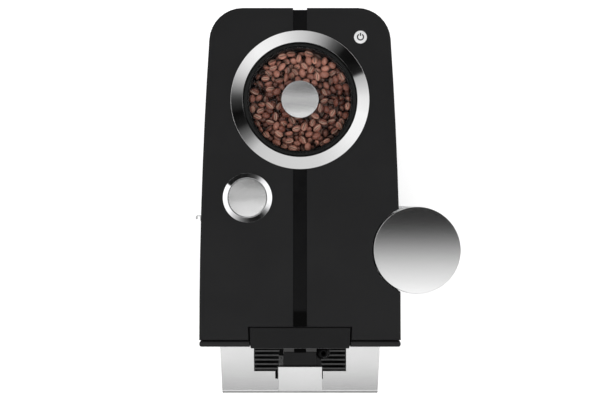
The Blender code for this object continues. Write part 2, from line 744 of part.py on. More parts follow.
def make_vents():
    """One cutter that holds every vent slot of the rear wall."""
    bm = bmesh.new()
    for i in range(VENTS):
        x = BODY_X + (i - (VENTS - 1) / 2) * VENT_PITCH
        boxed(bm, (x, REAR_Y, VENT_LOW + VENT_HEIGHT / 2),
              (VENT_WIDTH, 2 * OVERRUN + 2 * WALL, VENT_HEIGHT))
    return add("vent_slots", finished_mesh(bm, "vent_slots"))


def make_top_cover():
    cover = flat_shape("top_cover", [body_outline(0, COVER_FRONT_Y)], COVER_LOW, COVER_TOP,
                       SATIN_BLACK)
    round_rim(cover, COVER_TOP, COVER_ROUND)
    pocket = flat_shape("cover_pocket", [body_outline(WALL, COVER_FRONT_Y + WALL)],
                        COVER_LOW - OVERRUN, COVER_INNER_Z)
    notch_half = STRIP_HALF_WIDTH + GAP
    cut(pocket, bay_cutter("cover_bay_wall", WALL, COVER_LOW - OVERRUN, COVER_TOP),
        block("notch_wall",
              (BODY_X - notch_half - WALL, REAR_Y - STRIP_NOTCH - WALL, COVER_LOW - 2 * OVERRUN),
              (BODY_X + notch_half + WALL, REAR_Y, COVER_TOP)))
    cut(cover, pocket, bay_cutter("cover_bay", 0, COVER_LOW, COVER_TOP))
    low = COVER_LOW - OVERRUN
    high = COVER_TOP + OVERRUN
    cut(cover, cylinder("bowl_hole", HOPPER_X, HOPPER_Y, low, high, BOWL_R + GAP, steps=FINE))
    cut(cover, cylinder("funnel_hole", FILLER_AXIS_X, FILLER_Y, low, high, FUNNEL_R + GAP,
                        steps=ROUND))
    cut(cover, cylinder("power_hole", BODY_X + POWER_X, REAR_Y - POWER_FROM_REAR, low, high,
                        POWER_R + GAP, steps=SMALL))
    cut(cover, block("strip_channel",
                     (BODY_X - notch_half, FRONT_Y, COVER_TOP - STRIP_DEPTH),
                     (BODY_X + notch_half, REAR_Y - STRIP_NOTCH / 2, high)))
    cut(cover, block("rear_notch", (BODY_X - notch_half, REAR_Y - STRIP_NOTCH, low),
                     (BODY_X + notch_half, REAR_Y + OVERRUN, high)))
    cut(cover, flat_shape("head_notch", [head_plan(HEAD_SEAM)], low, high))


def head_rear_y():
    return FRONT_Y - HEAD_PROUD + HEAD_DEPTH


def head_plan(margin):
    """Plan of the display head, which narrows a little to its cut corners, with a margin."""
    face_y = FRONT_Y - HEAD_PROUD
    front_half = HEAD_HALF_WIDTH - HEAD_TAPER
    right = [(HEAD_HALF_WIDTH + margin, head_rear_y() + margin),
             (front_half + margin, face_y + HEAD_CORNER_RUN),
             (front_half - HEAD_CORNER + margin, face_y - margin)]
    left = [(-x, y) for x, y in reversed(right)]
    return [(BODY_X + x, y) for x, y in right + left]


def make_centre_strips():
    """The glossy strip comes in two lengths, which end under the bean container's ring."""
    low = COVER_TOP - STRIP_DEPTH + GAP
    high = COVER_TOP - STRIP_SUNK
    under_ring = (RING_R + RING_INNER_R) / 2
    runs = {"centre_strip_front": (head_rear_y() + HEAD_SEAM + GAP, HOPPER_Y - under_ring),
            "centre_strip_rear": (HOPPER_Y + under_ring, REAR_Y - STRIP_NOTCH - GAP)}
    for name, (start, end) in runs.items():
        block(name, (BODY_X - STRIP_HALF_WIDTH, start, low), (BODY_X + STRIP_HALF_WIDTH, end, high),
              GLOSS_BLACK)


# Front panel and display head

def make_front_panel():
    panel = block("front_panel", (BODY_X - FRONT_HALF_WIDTH, FRONT_Y, FLOOR_Z),
                  (BODY_X + FRONT_HALF_WIDTH, PANEL_BACK_Y, COVER_TOP), DARK_GREY, PANEL_ROUND)
    opening = NECK_HALF_WIDTH + DOOR_MARGIN + 2 * GAP
    cut(panel, block("tray_opening", (BODY_X - opening, FRONT_Y - OVERRUN, FLOOR_Z - OVERRUN),
                     (BODY_X + opening, PANEL_BACK_Y + OVERRUN, GROUNDS_TOP + DOOR_MARGIN)))
    cut(panel, flat_shape("head_recess", [head_plan(HEAD_SEAM)],
                          COVER_TOP - HEAD_HEIGHT - HEAD_SEAM, COVER_TOP + OVERRUN))


def key_places():
    """Names and centres of the keys: a column each side of the display."""
    middle_z = COVER_TOP - HEAD_HEIGHT / 2
    places = {}
    for side, x in (("left", -KEY_X), ("right", KEY_X)):
        for row in range(KEY_ROWS):
            z = middle_z + ((KEY_ROWS - 1) / 2 - row) * KEY_PITCH
            places[f"key_{side}_{row + 1}"] = (BODY_X + x, z)
    return places


def make_display_head():
    face_y = FRONT_Y - HEAD_PROUD
    low = COVER_TOP - HEAD_HEIGHT
    head = flat_shape("display_head", [head_plan(0)], low, COVER_TOP, GLOSS_BLACK)
    round_rim(head, COVER_TOP, HEAD_ROUND)
    cut(head, block("head_pocket",
                    (BODY_X - HEAD_HALF_WIDTH + HEAD_WALL, face_y + HEAD_WALL, low + HEAD_WALL),
                    (BODY_X + HEAD_HALF_WIDTH - HEAD_WALL, head_rear_y() + OVERRUN,
                     COVER_TOP - HEAD_WALL)))
    middle_z = COVER_TOP - HEAD_HEIGHT / 2
    half_height = GLASS_HEIGHT / 2
    cut(head, block("glass_seat",
                    (BODY_X - GLASS_HALF_WIDTH - GAP, face_y - OVERRUN, middle_z - half_height - GAP),
                    (BODY_X + GLASS_HALF_WIDTH + GAP, face_y + GLASS_THICK + GAP,
                     middle_z + half_height + GAP)))
    block("display_glass", (BODY_X - GLASS_HALF_WIDTH, face_y, middle_z - half_height),
          (BODY_X + GLASS_HALF_WIDTH, face_y + GLASS_THICK, middle_z + half_height), GLOSS_BLACK)
    for name, (x, z) in key_places().items():
        half_w = KEY_WIDTH / 2
        half_h = KEY_HEIGHT / 2
        cut(head, block(name + "_hole", (x - half_w - GAP, face_y - OVERRUN, z - half_h - GAP),
                        (x + half_w + GAP, face_y + HEAD_WALL + OVERRUN, z + half_h + GAP)))
        back_y = face_y + HEAD_WALL + GAP
        key = block(name, (x - half_w, face_y - KEY_PROUD, z - half_h),
                    (x + half_w, back_y + KEY_FLANGE_THICK / 2, z + half_h), DARK_GREY, KEY_ROUND)
        fuse(key, block(name + "_flange", (x - half_w - KEY_FLANGE, back_y, z - half_h - KEY_FLANGE),
                        (x + half_w + KEY_FLANGE, back_y + KEY_FLANGE_THICK,
                         z + half_h + KEY_FLANGE)))
        hang_on(key, x, face_y, z)


# Bean container

def make_hopper():
    top = SEAT_Z + BOWL_FLANGE_THICK
    flange_r = RING_INNER_R - GAP
    cone_top = top - BOWL_STRAIGHT
    cone_low = top - BOWL_DEPTH + THROAT_HEIGHT
    throat_low = top - BOWL_DEPTH
    inner_r = BOWL_R - BOWL_WALL
    throat_inner = THROAT_R - BOWL_WALL
    turned("bean_hopper", HOPPER_X, HOPPER_Y,
           [(inner_r, top), (flange_r, top), (flange_r, SEAT_Z), (BOWL_R, SEAT_Z), (BOWL_R, cone_top),
            (THROAT_R, cone_low), (THROAT_R, throat_low), (THROAT_R - THROAT_LIP, throat_low),
            (THROAT_R - THROAT_LIP, throat_low + BOWL_WALL), (throat_inner, throat_low + BOWL_WALL),
            (throat_inner, cone_low + BOWL_WALL), (inner_r, cone_top + BOWL_WALL)], CLEAR)
    inner_top = SEAT_Z + RING_HEIGHT
    outer_top = inner_top - RING_FALL
    turned("hopper_ring", HOPPER_X, HOPPER_Y,
           [(RING_INNER_R + RING_CHAMFER / 2, inner_top), (RING_R - RING_CHAMFER, outer_top),
            (RING_R, outer_top - RING_CHAMFER), (RING_R, SEAT_Z), (RING_INNER_R, SEAT_Z),
            (RING_INNER_R, inner_top - RING_CHAMFER / 2)], POLISHED, FINE)
    crown = lid_seat_z() - BEANS_BELOW_LID
    edge_r = inner_r - GAP
    fill_low = cone_low + BOWL_WALL + GAP
    turned("bean_fill", HOPPER_X, HOPPER_Y,
           [(0, crown), (edge_r * BEANS_MID_SHARE, crown - BEANS_CROWN / 2),
            (edge_r, crown - BEANS_CROWN), (edge_r, cone_top + BOWL_WALL + GAP),
            (throat_inner - GAP, fill_low + GAP), (throat_inner - GAP, fill_low), (0, fill_low)],
           COFFEE, ROUND, closed=False)
    dial_low = throat_low + BOWL_WALL + GAP
    dial = flat_shape("grind_dial",
                      [star(HOPPER_X, HOPPER_Y, throat_inner - GAP, DIAL_RIB, DIAL_RIBS)],
                      dial_low, dial_low + DIAL_HEIGHT, DARK_GREY)
    cut(dial, cylinder("dial_bore", HOPPER_X, HOPPER_Y, dial_low - OVERRUN,
                       dial_low + DIAL_HEIGHT + OVERRUN, DIAL_BORE_R))
    hang_on(dial, HOPPER_X, HOPPER_Y, dial_low)


def lid_seat_z():
    """Underside of the bean lid, on the bowl's flange."""
    return SEAT_Z + BOWL_FLANGE_THICK + GAP


def make_bean_lid():
    low = lid_seat_z()
    top = low + LID_RIM_HEIGHT
    ledge = low + LID_LEDGE_THICK
    turned("lid_rim", HOPPER_X, HOPPER_Y,
           [(LID_RIM_INNER_R, top), (LID_RIM_R - LID_LEDGE_THICK, top),
            (LID_RIM_R, top - LID_LEDGE_THICK), (LID_RIM_R, low), (LID_LEDGE_R, low),
            (LID_LEDGE_R, ledge), (LID_RIM_INNER_R, ledge)], GLOSS_BLACK, FINE)
    window_low = ledge + GAP
    window_top = window_low + WINDOW_THICK
    turned("lid_window", HOPPER_X, HOPPER_Y,
           [(KNOB_STEM_R + GAP, window_top), (LID_RIM_INNER_R - GAP, window_top),
            (LID_RIM_INNER_R - GAP, window_low), (KNOB_STEM_R + GAP, window_low)], CLEAR)
    knob_low = window_top + GAP
    turned("lid_knob", HOPPER_X, HOPPER_Y,
           [(0, HEIGHT - KNOB_DISH), (KNOB_R * KNOB_MID_SHARE, HEIGHT - KNOB_DISH * DISH_MID_SHARE),
            (KNOB_R - KNOB_EDGE, HEIGHT), (KNOB_R, HEIGHT - KNOB_EDGE),
            (KNOB_R, HEIGHT - KNOB_EDGE * 2), (KNOB_R - KNOB_EDGE, knob_low),
            (KNOB_STEM_R, knob_low), (KNOB_STEM_R, window_low), (0, window_low)],
           SATIN_METAL, ROUND, closed=False)


# Grinder

def chamber_top():
    """Top of the burr chamber, just under the hopper's throat."""
    return SEAT_Z + BOWL_FLANGE_THICK - BOWL_DEPTH - GAP


def make_grinder():
    top = chamber_top()
    low = top - CHAMBER_HEIGHT
    inner_r = CHAMBER_R - CHAMBER_WALL
    ledge_z = top - BURR_THICK - BURR_LEDGE
    ledge_r = inner_r - BURR_LEDGE
    floor_z = low + CHAMBER_WALL
    chamber = turned("burr_chamber", HOPPER_X, HOPPER_Y,
                     [(inner_r, top), (CHAMBER_R, top), (CHAMBER_R, low),
                      (SHAFT_R + SHAFT_CLEARANCE, low), (SHAFT_R + SHAFT_CLEARANCE, floor_z),
                      (ledge_r, floor_z), (ledge_r, ledge_z), (inner_r, ledge_z)], DARK_GREY,
                     steps=MEDIUM)
    start, end = chute_ends()
    axis = (end - start).normalized()
    cut(chamber, lying_cylinder("chute_mouth", start - axis * (CHAMBER_WALL + BURR_LEDGE),
                                start + axis * OVERRUN, CHUTE_R - CHUTE_WALL, steps=TINY))
    upper_low = ledge_z + GAP
    upper = turned("upper_burr", HOPPER_X, HOPPER_Y,
                   [(BURR_BORE_R, upper_low + BURR_THICK), (inner_r - GAP, upper_low + BURR_THICK),
                    (inner_r - GAP, upper_low), (BURR_BORE_R, upper_low)], STEEL,
                   steps=MEDIUM)
    cut(upper, flat_shape("upper_teeth",
                          [star(HOPPER_X, HOPPER_Y, BURR_BORE_R + BURR_TOOTH * 2, BURR_TOOTH * 3,
                                BURR_TEETH // 2)],
                          upper_low - OVERRUN, upper_low + BURR_THICK / 2))
    burr_top = upper_low - BURR_GAP
    burr_low = burr_top - BURR_THICK
    lower = flat_shape("lower_burr", [star(HOPPER_X, HOPPER_Y, ledge_r - 2 * GAP, BURR_TOOTH,
                                           BURR_TEETH)],
                       burr_low, burr_top, STEEL)
    twist_top(lower, HOPPER_X, HOPPER_Y, burr_top)
    fuse(lower, cylinder("burr_shaft", HOPPER_X, HOPPER_Y, low - GAP - SHAFT_INTO_MOTOR,
                         burr_low + BURR_THICK / 2, SHAFT_R, steps=SMALL))
    hang_on(lower, HOPPER_X, HOPPER_Y, burr_low)
    motor_top = low - GAP
    turned("grinder_motor", HOPPER_X, HOPPER_Y,
           [(SHAFT_R + SHAFT_CLEARANCE, motor_top), (MOTOR_R - MOTOR_ROUND, motor_top),
            (MOTOR_R, motor_top - MOTOR_ROUND), (MOTOR_R, SHELF_SEAT_Z), (0, SHELF_SEAT_Z),
            (0, motor_top - SHAFT_INTO_MOTOR - OVERRUN),
            (SHAFT_R + SHAFT_CLEARANCE, motor_top - SHAFT_INTO_MOTOR - OVERRUN)], STEEL,
           steps=MEDIUM)


def twist_top(obj, x, y, level):
    """Narrow and turn the top of a toothed disc, so that its teeth run in a spiral."""
    turn = Matrix.Rotation(BURR_TWIST, 4, "Z") @ Matrix.Scale(BURR_TOP_SHARE, 4)
    turn[2][2] = 1
    middle = Matrix.Translation((x, y, 0))
    whole = middle @ turn @ middle.inverted()
    for vert in obj.data.vertices:
        if abs(vert.co.z - level) < WELD:
            vert.co = whole @ vert.co


def chute_ends():
    """Both ends of the chute's axis, from the burr chamber to over the brew cylinder."""
    grinder = Vector((HOPPER_X, HOPPER_Y, 0))
    brewer = Vector((FILLER_AXIS_X, FILLER_Y, 0))
    towards = (brewer - grinder).normalized()
    high = chamber_top() - CHAMBER_HEIGHT + CHAMBER_WALL + CHUTE_R + GAP
    low = high - CHUTE_DROP
    start = grinder + towards * (CHAMBER_R + OVERRUN)
    end = brewer - towards * (BREW_BORE_R - CHUTE_R)
    start.z = high
    end.z = low
    return start, end


def brew_top():
    """Upper edge of the brew cylinder, just under the chute."""
    return chute_ends()[1].z - CHUTE_R - OVERRUN


def brew_low():
    return brew_top() - (brew_top() - SHELF_TOP) * BREW_SHARE


def make_chute():
    start, end = chute_ends()
    axis = (end - start).normalized()
    chute = lying_cylinder("ground_coffee_chute", start, end, CHUTE_R, DARK_GREY)
    cut(chute, lying_cylinder("chute_bore", start - axis * OVERRUN, end + axis * OVERRUN,
                              CHUTE_R - CHUTE_WALL))


# Power button and ground-coffee filler

def make_power_button():
    x = BODY_X + POWER_X
    y = REAR_Y - POWER_FROM_REAR
    top = COVER_TOP + POWER_PROUD
    flange_top = COVER_INNER_Z - GAP
    flange_low = flange_top - POWER_FLANGE_THICK
    turned("power_button", x, y,
           [(0, top), (POWER_R - POWER_ROUND, top), (POWER_R, top - POWER_ROUND),
            (POWER_R, flange_top), (POWER_R + POWER_FLANGE, flange_top),
            (POWER_R + POWER_FLANGE, flange_low), (0, flange_low)], SATIN_METAL, SMALL, closed=False)


def make_filler():
    flange_top = SEAT_Z + FUNNEL_FLANGE_THICK
    straight = SEAT_Z - FUNNEL_STRAIGHT
    cone = straight - FUNNEL_CONE
    tube_low = chute_ends()[1].z + CHUTE_R + OVERRUN
    inner_r = FUNNEL_R - FUNNEL_WALL
    tube_inner = FUNNEL_TUBE_R - FUNNEL_WALL
    turned("filler_funnel", FILLER_AXIS_X, FILLER_Y,
           [(inner_r, flange_top), (FUNNEL_R + FUNNEL_FLANGE, flange_top),
            (FUNNEL_R + FUNNEL_FLANGE, SEAT_Z), (FUNNEL_R, SEAT_Z), (FUNNEL_R, straight),
            (FUNNEL_TUBE_R, cone), (FUNNEL_TUBE_R, tube_low), (tube_inner, tube_low),
            (tube_inner, cone + FUNNEL_WALL), (inner_r, straight + FUNNEL_WALL)], DARK_GREY,
           steps=MEDIUM)
    top = SEAT_Z + FILLER_RING_HEIGHT
    inner = FILLER_DISC_R + GAP
    ring = turned("filler_ring", FILLER_AXIS_X, FILLER_Y,
                  [(inner + FILLER_CHAMFER / 3, top), (FILLER_RING_R - FILLER_CHAMFER, top),
                   (FILLER_RING_R, top - FILLER_CHAMFER), (FILLER_RING_R, SEAT_Z),
                   (inner, SEAT_Z), (inner, top - FILLER_CHAMFER / 3)], POLISHED)
    disc_low = flange_top + GAP
    disc_top = disc_low + FILLER_DISC_THICK
    disc = turned("filler_disc", FILLER_AXIS_X, FILLER_Y,
                  [(0, disc_top), (FILLER_DISC_R, disc_top), (FILLER_DISC_R, disc_low),
                   (0, disc_low)], SATIN_METAL, ROUND, closed=False)
    for piece in (ring, disc):
        piece.parent = filler_hinge()
        piece.matrix_parent_inverse = piece.parent.matrix_world.inverted()


def filler_hinge():
    """The empty on the filler lid's hinge axis, at the rear edge of its ring."""
    found = bpy.data.objects.get("filler_hinge")
    if found:
        return found
    hinge = bpy.data.objects.new("filler_hinge", None)
    PARTS.objects.link(hinge)
    hinge.location = (FILLER_AXIS_X, FILLER_Y + FILLER_RING_R, COVER_TOP + FILLER_HINGE_HEIGHT)
    bpy.context.view_layer.update()
    return hinge


# Water tank

def tank_low():
    return FLOOR_Z + DOCK_HEIGHT + GAP


def tank_lid_top():
    return COVER_TOP + TANK_LID_RISE


def tank_top():
    return tank_lid_top() - TANK_LID_HEIGHT - GAP


def tank_inner_r():
    return TANK_R - TANK_FLUTE_DEPTH - TANK_WALL


def make_dock():
    top = FLOOR_Z + DOCK_HEIGHT
    dock = turned("tank_dock", TANK_X, TANK_Y,
                  [(0, top + SPIGOT_HEIGHT), (SPIGOT_R, top + SPIGOT_HEIGHT), (SPIGOT_R, top),
                   (DOCK_R - DOCK_ROUND, top), (DOCK_R, top - DOCK_ROUND), (DOCK_R, FLOOR_Z),
                   (0, FLOOR_Z)], DARK_GREY, ROUND, closed=False)
    towards = Vector((math.cos(NIPPLE_TURN), math.sin(NIPPLE_TURN), 0))
    axis = Vector((TANK_X, TANK_Y, FLOOR_Z + NIPPLE_HEIGHT))
    fuse(dock, lying_cylinder("dock_nipple", axis + towards * (DOCK_R - OVERRUN),
                              axis + towards * NIPPLE_REACH, NIPPLE_R, steps=TINY))


def make_tank():
    low = tank_low()
    high = tank_top()
    tank = flat_shape("water_tank", [star(TANK_X, TANK_Y, TANK_R, TANK_FLUTE_DEPTH, TANK_FLUTES)],
                      low, high, CLEAR)
    cut(tank, cylinder("tank_cavity", TANK_X, TANK_Y, low + TANK_FLOOR, high + OVERRUN,
                       tank_inner_r(), steps=ROUND))
    cut(tank, cylinder("valve_hole", TANK_X, TANK_Y, low - OVERRUN, low + TANK_FLOOR + OVERRUN,
                       VALVE_HOLE_R))
    hang_on(tank, TANK_X, TANK_Y, low)
    valve_low = low + TANK_FLOOR + GAP
    stem_low = FLOOR_Z + DOCK_HEIGHT + SPIGOT_HEIGHT + GAP
    turned("tank_valve", TANK_X, TANK_Y,
           [(0, valve_low + VALVE_HEIGHT), (VALVE_R, valve_low + VALVE_HEIGHT),
            (VALVE_R, valve_low), (VALVE_STEM_R, valve_low), (VALVE_STEM_R, stem_low),
            (0, stem_low)], RUBBER, SMALL, closed=False)
    lid_top = tank_lid_top()
    lid_low = lid_top - TANK_LID_HEIGHT
    plug_r = tank_inner_r() - GAP
    plug_low = lid_low - TANK_PLUG_DEPTH
    turned("tank_lid", TANK_X, TANK_Y,
           [(0, lid_top), (TANK_LID_R - TANK_LID_BEVEL, lid_top),
            (TANK_LID_R, lid_top - TANK_LID_BEVEL), (TANK_LID_R, lid_low), (plug_r, lid_low),
            (plug_r, plug_low), (plug_r - TANK_LID_SKIN, plug_low),
            (plug_r - TANK_LID_SKIN, lid_top - TANK_LID_SKIN), (0, lid_top - TANK_LID_SKIN)],
           SATIN_METAL, FINE, closed=False)


def make_clip():
    """Clear hook for the milk hose on the left side: an L seen from above, open to the rear."""
    wall_x = BODY_X - side_half_width(CLIP_Y) - GAP
    end_x = BODY_X - LEFT_REACH
    low_y = CLIP_Y - CLIP_HALF_WIDTH
    high_y = CLIP_Y + CLIP_HALF_WIDTH
    top = COVER_LOW - CLIP_BELOW_TOP
    clip = flat_shape("hose_clip",
                      [[(wall_x, low_y), (wall_x, low_y + CLIP_THICK),
                        (end_x + CLIP_THICK, low_y + CLIP_THICK), (end_x + CLIP_THICK, high_y),
                        (end_x, high_y), (end_x, low_y)]],
                      top - CLIP_HEIGHT, top, PALE_PLASTIC)
    soften(clip, CLIP_ROUND)


# Coffee spout

def make_rail():
    """T-shaped rail on the front panel."""
    back = FRONT_Y - GAP
    front = back - RAIL_DEPTH
    head = front + RAIL_HEAD_DEPTH
    flat_shape("spout_rail",
               [[(BODY_X - RAIL_NECK, back), (BODY_X - RAIL_NECK, head),
                 (BODY_X - RAIL_HALF_WIDTH, head), (BODY_X - RAIL_HALF_WIDTH, front),
                 (BODY_X + RAIL_HALF_WIDTH, front), (BODY_X + RAIL_HALF_WIDTH, head),
                 (BODY_X + RAIL_NECK, head), (BODY_X + RAIL_NECK, back)]],
               RAIL_LOW, RAIL_TOP, DARK_GREY)


def spout_body_back():
    return FRONT_Y - SPOUT_BACK_GAP


def spout_body_front():
    return spout_body_back() - SPOUT_BODY_DEPTH


def make_spout():
    back = spout_body_back()
    front = spout_body_front()
    low = SPOUT_TOP - SPOUT_BODY_HEIGHT
    body = block("spout_body", (BODY_X - SPOUT_HALF_WIDTH, front, low),
                 (BODY_X + SPOUT_HALF_WIDTH, back, SPOUT_TOP), GLOSS_BLACK, SPOUT_ROUND)
    # The milk connector stands beside the body, on a lug, and is let into the right wing.
    milk_x = BODY_X + SPOUT_HALF_WIDTH + GAP + MILK_R
    milk_y = front + MILK_SET_BACK
    milk_top = SPOUT_TOP + MILK_RISE
    milk_low = milk_top - MILK_HEIGHT
    lug_top = milk_low - GAP
    lug_low = lug_top - LUG_HEIGHT
    wings = block("spout_wings", (BODY_X - WING_HALF_WIDTH, front, low + WING_ABOVE_LOW),
                  (BODY_X + WING_HALF_WIDTH, front + WING_DEPTH, SPOUT_TOP - WING_BELOW_TOP))
    cut(wings, cylinder("milk_room", milk_x, milk_y, lug_top - LUG_STEP, SPOUT_TOP + OVERRUN,
                        MILK_R + MILK_SEAT_GAP))
    fuse(body, wings, cylinder("milk_lug", milk_x, milk_y, lug_low, lug_top, MILK_R),
         block("lug_web",
               (BODY_X + SPOUT_HALF_WIDTH - OVERRUN, milk_y - MILK_R / 2, lug_low + LUG_STEP),
               (milk_x, milk_y + MILK_R / 2, lug_top - 2 * LUG_STEP)))
    cut(body, cylinder("milk_seat", milk_x, milk_y, lug_top - MILK_PEG - GAP, lug_top + OVERRUN,
                       MILK_NECK_R + GAP))
    cut(body, side_shape("rear_slope",
                         [(back + OVERRUN, SPOUT_TOP + OVERRUN),
                          (back + OVERRUN, SPOUT_TOP - SPOUT_SLOPE_FALL),
                          (back, SPOUT_TOP - SPOUT_SLOPE_FALL), (back - SPOUT_SLOPE_RUN, SPOUT_TOP),
                          (back - SPOUT_SLOPE_RUN, SPOUT_TOP + OVERRUN)],
                         BODY_X - SPOUT_HALF_WIDTH - OVERRUN, BODY_X + SPOUT_HALF_WIDTH + OVERRUN))
    rail_front = FRONT_Y - GAP - RAIL_DEPTH
    head_y = rail_front + RAIL_HEAD_DEPTH
    neck = RAIL_NECK + RAIL_CLEARANCE
    head = RAIL_HALF_WIDTH + RAIL_CLEARANCE
    cut(body, flat_shape("rail_channel",
                         [[(BODY_X - neck, back + OVERRUN), (BODY_X - neck, head_y + RAIL_CLEARANCE),
                           (BODY_X - head, head_y + RAIL_CLEARANCE),
                           (BODY_X - head, rail_front - RAIL_CLEARANCE),
                           (BODY_X + head, rail_front - RAIL_CLEARANCE),
                           (BODY_X + head, head_y + RAIL_CLEARANCE),
                           (BODY_X + neck, head_y + RAIL_CLEARANCE), (BODY_X + neck, back + OVERRUN)]],
                         low - OVERRUN, SPOUT_TOP + OVERRUN))
    nozzle_y = front + NOZZLE_SET_BACK
    for side, x in (("left", -NOZZLE_X), ("right", NOZZLE_X)):
        nozzle_x = BODY_X + x
        cut(body, cylinder(f"nozzle_seat_{side}", nozzle_x, nozzle_y, low - OVERRUN,
                           low + NOZZLE_PEG + GAP, NOZZLE_R + GAP, steps=SMALL))
        peg_top = low + NOZZLE_PEG
        tip = low - NOZZLE_LENGTH
        turned(f"coffee_nozzle_{side}", nozzle_x, nozzle_y,
               [(NOZZLE_BORE_R, peg_top), (NOZZLE_R, peg_top), (NOZZLE_R, low - NOZZLE_PEG),
                (NOZZLE_BORE_R + FUNNEL_WALL, tip), (NOZZLE_BORE_R, tip)], STEEL, SMALL)
    neck_low = milk_top - MILK_NECK_HEIGHT
    turned("milk_connector", milk_x, milk_y,
           [(MILK_BORE_R, milk_top), (MILK_NECK_R, milk_top), (MILK_NECK_R, neck_low),
            (MILK_R, neck_low), (MILK_R, milk_low), (MILK_NECK_R, milk_low),
            (MILK_NECK_R, milk_low - MILK_PEG), (0, milk_low - MILK_PEG),
            (0, neck_low - MILK_NECK_HEIGHT), (MILK_BORE_R, neck_low - MILK_NECK_HEIGHT)],
           GLOSS_BLACK, SMALL)
    make_spout_cover(front)


def make_spout_cover(front):
    """Silver front of the spout, hollow behind."""
    cover_back = front - GAP
    cover_front = cover_back - SPOUT_COVER_DEPTH
    top = SPOUT_TOP + SPOUT_COVER_RISE
    low = top - SPOUT_COVER_HEIGHT
    half = SPOUT_COVER_HALF_WIDTH
    cover = block("spout_cover", (BODY_X - half, cover_front, low), (BODY_X + half, cover_back, top),
                  SILVER_PAINT, SPOUT_COVER_ROUND)
    wall = SPOUT_COVER_WALL
    cut(cover, block("cover_hollow", (BODY_X - half + wall, cover_front + wall, low - OVERRUN),
                     (BODY_X + half - wall, cover_back - wall, top - wall)))


# Drip tray

def tray_section(inset, low):
    """Side view of the tray's shell: flat, curving down to the nose, then down to its lower edge."""
    run = TRAY_CURVE_RUN
    drop = TRAY_TOP - TRAY_NOSE_Z
    radius = (run * run + drop * drop) / (2 * drop)
    end = math.asin(run / radius)
    start_y = NOSE_Y + run
    rear_y = FRONT_Y - GAP if inset == 0 else FRONT_Y + OVERRUN
    points = [(rear_y, low), (rear_y, TRAY_TOP - inset)]
    for i in range(CURVE_POINTS + 1):
        angle = end * i / CURVE_POINTS
        reach = radius - inset
        points.append((start_y - reach * math.sin(angle),
                       TRAY_TOP - radius + reach * math.cos(angle)))
    points.append((NOSE_Y + inset, low))
    return points


def taper_tray(obj):
    """Draw the tray's sides in towards its nose."""
    for vert in obj.data.vertices:
        run = (FRONT_Y - vert.co.y) / (FRONT_Y - NOSE_Y)
        half = TRAY_HALF_REAR + (TRAY_HALF_FRONT - TRAY_HALF_REAR) * run
        vert.co.x = BODY_X + (vert.co.x - BODY_X) * half / TRAY_HALF_REAR


def make_tray_shell():
    low = FLOOR_Z + TRIM_LIFT
    shell = side_shape("tray_shell", tray_section(0, low), BODY_X - TRAY_HALF_REAR,
                       BODY_X + TRAY_HALF_REAR, SILVER_PAINT)
    taper_tray(shell)
    inside = side_shape("shell_inside", tray_section(TRIM_WALL, low - OVERRUN),
                        BODY_X - TRAY_HALF_REAR + TRIM_WALL, BODY_X + TRAY_HALF_REAR - TRIM_WALL)
    taper_tray(inside)
    cut(shell, inside)
    rear = FRONT_Y - GAP
    front = rear - GRILLE_DEPTH
    half = GRILLE_HALF_WIDTH + GAP
    outer = half + LEDGE_WIDTH
    seat = TRAY_TOP - GRILLE_THICK - GAP
    fuse(shell, block("grille_ledge", (BODY_X - outer, front - LEDGE_WIDTH, seat - LEDGE_THICK),
                      (BODY_X + outer, rear, TRAY_TOP - TRIM_WALL / 2)))
    cut(shell, block("grille_seat", (BODY_X - half, front - GAP, seat),
                     (BODY_X + half, FRONT_Y + OVERRUN, TRAY_TOP + OVERRUN)))
    cut(shell, block("tray_mouth", (BODY_X - half + LEDGE_WIDTH, front + LEDGE_WIDTH, low),
                     (BODY_X + half - LEDGE_WIDTH, FRONT_Y + OVERRUN, TRAY_TOP + OVERRUN)))
    finger_x = BODY_X + FINGER_SHIFT
    cut(shell, block("finger_recess", (finger_x - FINGER_HALF_WIDTH, front - FINGER_DEPTH, low),
                     (finger_x + FINGER_HALF_WIDTH, front + LEDGE_WIDTH, TRAY_TOP + OVERRUN)))


def make_pan():
    """Black pan inside the shell, with a neck that runs into the housing."""
    low = FLOOR_Z
    high = low + PAN_HEIGHT

    def plan(inset):
        half = TRAY_HALF_FRONT - PAN_SIDE_GAP - inset
        neck = NECK_HALF_WIDTH - inset
        front = NOSE_Y + PAN_NOSE_GAP + inset
        shoulder = FRONT_Y - NECK_SHOULDER - inset
        rear = FRONT_Y + NECK_LENGTH - inset
        return [(BODY_X + half, front), (BODY_X + half, shoulder), (BODY_X + neck, shoulder),
                (BODY_X + neck, rear), (BODY_X - neck, rear), (BODY_X - neck, shoulder),
                (BODY_X - half, shoulder), (BODY_X - half, front)]

    pan = flat_shape("tray_pan", [plan(0)], low, high, DARK_GREY)
    cut(pan, flat_shape("pan_inside", [plan(PAN_WALL)], low + PAN_WALL, high + OVERRUN))


def boxed(bm, centre, size):
    """Add a box to a mesh that holds many."""
    verts = bmesh.ops.create_cube(bm, size=1.0)["verts"]
    bmesh.ops.scale(bm, verts=verts, vec=size)
    bmesh.ops.translate(bm, verts=verts, vec=centre)


